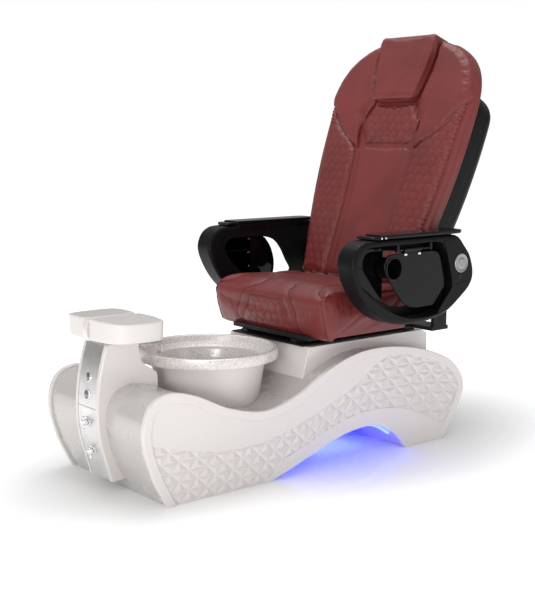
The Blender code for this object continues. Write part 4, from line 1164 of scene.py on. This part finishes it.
def make_back_leather():
    base = prism("back_cushion_cover", back_outline(0.01), -0.004, BACK_REAR, "Y", 0.015, 6, 40.0)
    inflate(base, 0.006, 0.004, lambda p: (p[:, 1] - 0.028) / 0.01, 3.0)
    finish_pad(base, "back", ["back_cushion"])

    right = spline([(0.119, 0.002), (0.124, 0.27), (0.131, 0.38), (0.141, 0.496)], 4)
    centre = right + [(0.104, 0.507), (-0.104, 0.507)] + [(-x, s) for x, s in reversed(right)]
    middle = soft_pad("back_centre_panel", centre, -0.007, 0.03, 0.006, 0.0055, 0.005, 3.0)
    finish_pad(middle, "back")

    for name, sign in SIDES:
        outline = [(sign * x, s) for x, s in spline(BOLSTER[:4], 3) + spline(BOLSTER[4:], 3)]
        strip = soft_pad(f"back_bolster_{name}", outline, -0.016, 0.032, 0.008, 0.005, 0.006, 3.0)
        points = points_of(strip)
        front = np.clip((0.006 - points[:, 1]) / 0.01, 0.0, 1.0)
        quilt(strip, points[:, 0] * sign, points[:, 2], front)
        points = points_of(strip)
        seam = line_distance(np.stack([np.abs(points[:, 0]), points[:, 2]], 1), spline(BOLSTER[7:], 4))
        folds = np.sin(points[:, 2] * 2 * math.pi / 0.017 + 2.0 * np.sin(points[:, 2] * 31.0))
        push(strip, front * 0.0018 * folds * np.exp(-(seam / 0.016) ** 2))
        finish_pad(strip, "back")
        strip.data.transform(BACK.inverted())
        area = within([(abs(x), s) for x, s in outline])
        lines = hex_lines((0.1, 0.0), (0.33, 0.66),
            lambda x, s: area(x, s) and area(x + 0.012, s) and area(x - 0.006, s))
        stitches = thread_lines(f"bolster_quilting_{name}", strip, lines,
            lambda tree, p, sign=sign: tree.ray_cast((sign * p.x, -0.2, p.y), (0, 1, 0)))
        strip.data.transform(BACK)
        place(stitches, "back", "thread", (), BACK)

    for name, sign in SIDES:
        outline = [(sign * x, s) for x, s in wing_outline()]
        wing = soft_pad(f"back_wing_{name}", outline, -0.02, 0.034, 0.014, 0.0052, 0.008, 4.0)
        finish_pad(wing, "back")

    neck = soft_pad("neck_pad", NECK_PAD, -0.017, 0.02, 0.007, 0.005, 0.005, 3.0)
    points = points_of(neck)
    quilt(neck, points[:, 0] + HEX / 2, points[:, 2], np.clip((-0.004 - points[:, 1]) / 0.008, 0.0, 1.0))
    area = within([(x * 0.95, 0.58 + (s - 0.58) * 0.92) for x, s in NECK_PAD])
    lines = hex_lines((-0.15, 0.48), (0.2, 0.68), lambda x, s: area(x - HEX / 2, s))
    stitches = thread_lines("neck_pad_quilting", neck, lines,
        lambda tree, p: tree.ray_cast((p.x - HEX / 2, -0.2, p.y), (0, 1, 0)))
    place(stitches, "back", "thread", (), BACK)
    finish_pad(neck, "back")

    head = [(-0.099, 0.663), (0.099, 0.663), (0.104, 0.69), (0.121, 0.78), (0.138, 0.88), (0.132, 0.902),
        (0.118, 0.907), (-0.118, 0.907), (-0.132, 0.902), (-0.138, 0.88), (-0.121, 0.78), (-0.104, 0.69)]
    pillow = soft_pad("headrest_cover", head, -0.045, 0.036, 0.007, 0.0045, 0.003, 2.0)
    finish_pad(pillow, "back", ["headrest_pad"])


def seat_profile():
    return [(0.64, 0.409), (0.622, 0.419), (0.606, 0.45), (0.59, 0.494), (0.584, 0.528), (0.593, 0.553),
        (0.622, 0.568), (0.666, 0.5745), (0.76, 0.571), (0.9, 0.564), (0.955, 0.5605), (0.973, 0.548)]


def seat_face(x, z):
    """A point on the seat's front, for marking seams."""
    line = sorted(seat_profile()[:7], key=lambda p: p[1])
    for (ya, za), (yb, zb) in zip(line, line[1:]):
        if za <= z <= zb:
            return (x, ya + (yb - ya) * (z - za) / (zb - za), z)
    return (x, line[-1][0], z)


def seat_panel_half(z):
    return 0.083 + 0.06 * ((0.533 - z) / 0.1) ** 1.25 if z < 0.533 else 0.083


def make_seat_leather():
    seat = prism("seat_cushion_cover", spline(seat_profile(), 4) + [(0.973, 0.4215), (0.65, 0.4215)],
        -0.285, 0.285, "X", 0.024, 6, 50.0)
    inflate(seat, 0.0058, 0.008, lambda p: np.maximum((0.43 - p[:, 2]) / 0.008, (p[:, 1] - 0.95) / 0.008),
        4.0)
    points = points_of(seat)
    x, y, z = points.T
    seams = []
    heights = [0.42 + 0.113 * k / 10 for k in range(11)]
    for sign in (1, -1):
        seams.append([seat_face(sign * seat_panel_half(height), height) for height in heights])
        arc = [seat_face(sign * 0.142, 0.424), seat_face(sign * 0.155, 0.45), seat_face(sign * 0.153, 0.48),
            seat_face(sign * 0.138, 0.515), seat_face(sign * 0.12, 0.545), (sign * 0.094, 0.612, 0.566),
            (sign * 0.074, 0.664, 0.575)]
        seams.append(spline(arc, 6))
        corner = [(sign * 0.274, 0.628, 0.42), (sign * 0.277, 0.606, 0.46), (sign * 0.278, 0.593, 0.5),
            (sign * 0.276, 0.592, 0.53), (sign * 0.268, 0.606, 0.556)]
        seams.append(spline(corner, 6))
        side_seam = [(sign * 0.268, 0.606, 0.556), (sign * 0.282, 0.64, 0.56), (sign * 0.284, 0.74, 0.558),
            (sign * 0.282, 0.94, 0.552)]
        seams.append(spline(side_seam, 6))
        shoulder = [(sign * 0.268, 0.606, 0.556), (sign * 0.232, 0.628, 0.568), (sign * 0.206, 0.664, 0.574)]
        seams.append(spline(shoulder, 6))
        gusset = [(sign * 0.206, 0.664, 0.574), (sign * 0.2, 0.8, 0.57), (sign * 0.202, 0.945, 0.563)]
        seams.append(spline(gusset, 6))
    seams.append([seat_face(-0.083 + 0.166 * k / 8, 0.533) for k in range(9)])
    depth = np.zeros(len(points))
    for line in seams:
        gap = line_distance(points, line)
        depth = np.maximum(depth, 0.003 * np.exp(-(gap / 0.0036) ** 2) + 0.0034 * np.exp(-(gap / 0.014) ** 2))
    push(seat, -depth)
    panel_half = np.vectorize(seat_panel_half)(z) - 0.006
    front_area = (np.abs(x) < panel_half) & (z < 0.528) & (z > 0.432) & (y < 0.66)
    quilt(seat, x, z, front_area.astype(float))
    top_area = np.clip((0.125 - np.abs(x)) / 0.006, 0, 1) * np.clip((y - 0.7) / 0.01, 0, 1) * (z > 0.54)
    quilt(seat, x, y, top_area)
    stitches = thread_lines("seat_front_quilting", seat, hex_lines((-0.16, 0.42), (0.16, 0.54),
        lambda a, b: 0.438 < b < 0.526 and abs(a) < seat_panel_half(b) - 0.007),
        lambda tree, p: tree.ray_cast((p.x, 0.5, p.y), (0, 1, 0)))
    place(stitches, "seat", "thread")
    stitches = thread_lines("seat_top_quilting", seat, hex_lines((-0.13, 0.7), (0.13, 0.96),
        lambda a, b: 0.705 < b < 0.955 and abs(a) < 0.122),
        lambda tree, p: tree.ray_cast((p.x, p.y, 0.65), (0, 0, -1)))
    place(stitches, "seat", "thread")
    stitches = thread_lines("seat_seams", seat, seams, lambda tree, p: tree.find_nearest(p), 0.0011)
    place(stitches, "seat", "thread")
    finish_pad(seat, "seat", ["seat_cushion"], CHAIR)


# ---- everything ----
def finish_cad_nodes():
    """The CAD nodes that still show take the same finishes."""
    by_slot = {slot: look for look, slot in SLOTS.items() if look not in ("thread", "silver")}
    slots = {row["node"]: row["material_slot"] for row in frame["record"]["subparts"]}
    for name, node in frame["nodes"].items():
        node.data.materials.clear()
        node.data.materials.append(LOOKS[by_slot[slots[name]]])
        node.data.shade_smooth()
        node.data.set_sharp_from_angle(angle=math.radians(35))


def main():
    make_materials()
    finish_cad_nodes()
    make_camera()
    make_stage()
    side, arch, body = base_lines()
    make_base_shell(body, arch)
    for name, sign in SIDES:
        make_side_panel(name, sign, side, arch)
    make_pedestal(body)
    make_bowl()
    make_jet_grille()
    make_column()
    make_controls()
    make_footrest()
    for name, sign in SIDES:
        make_arm(name, sign)
    make_back_shell()
    make_back_leather()
    make_seat_leather()


main()
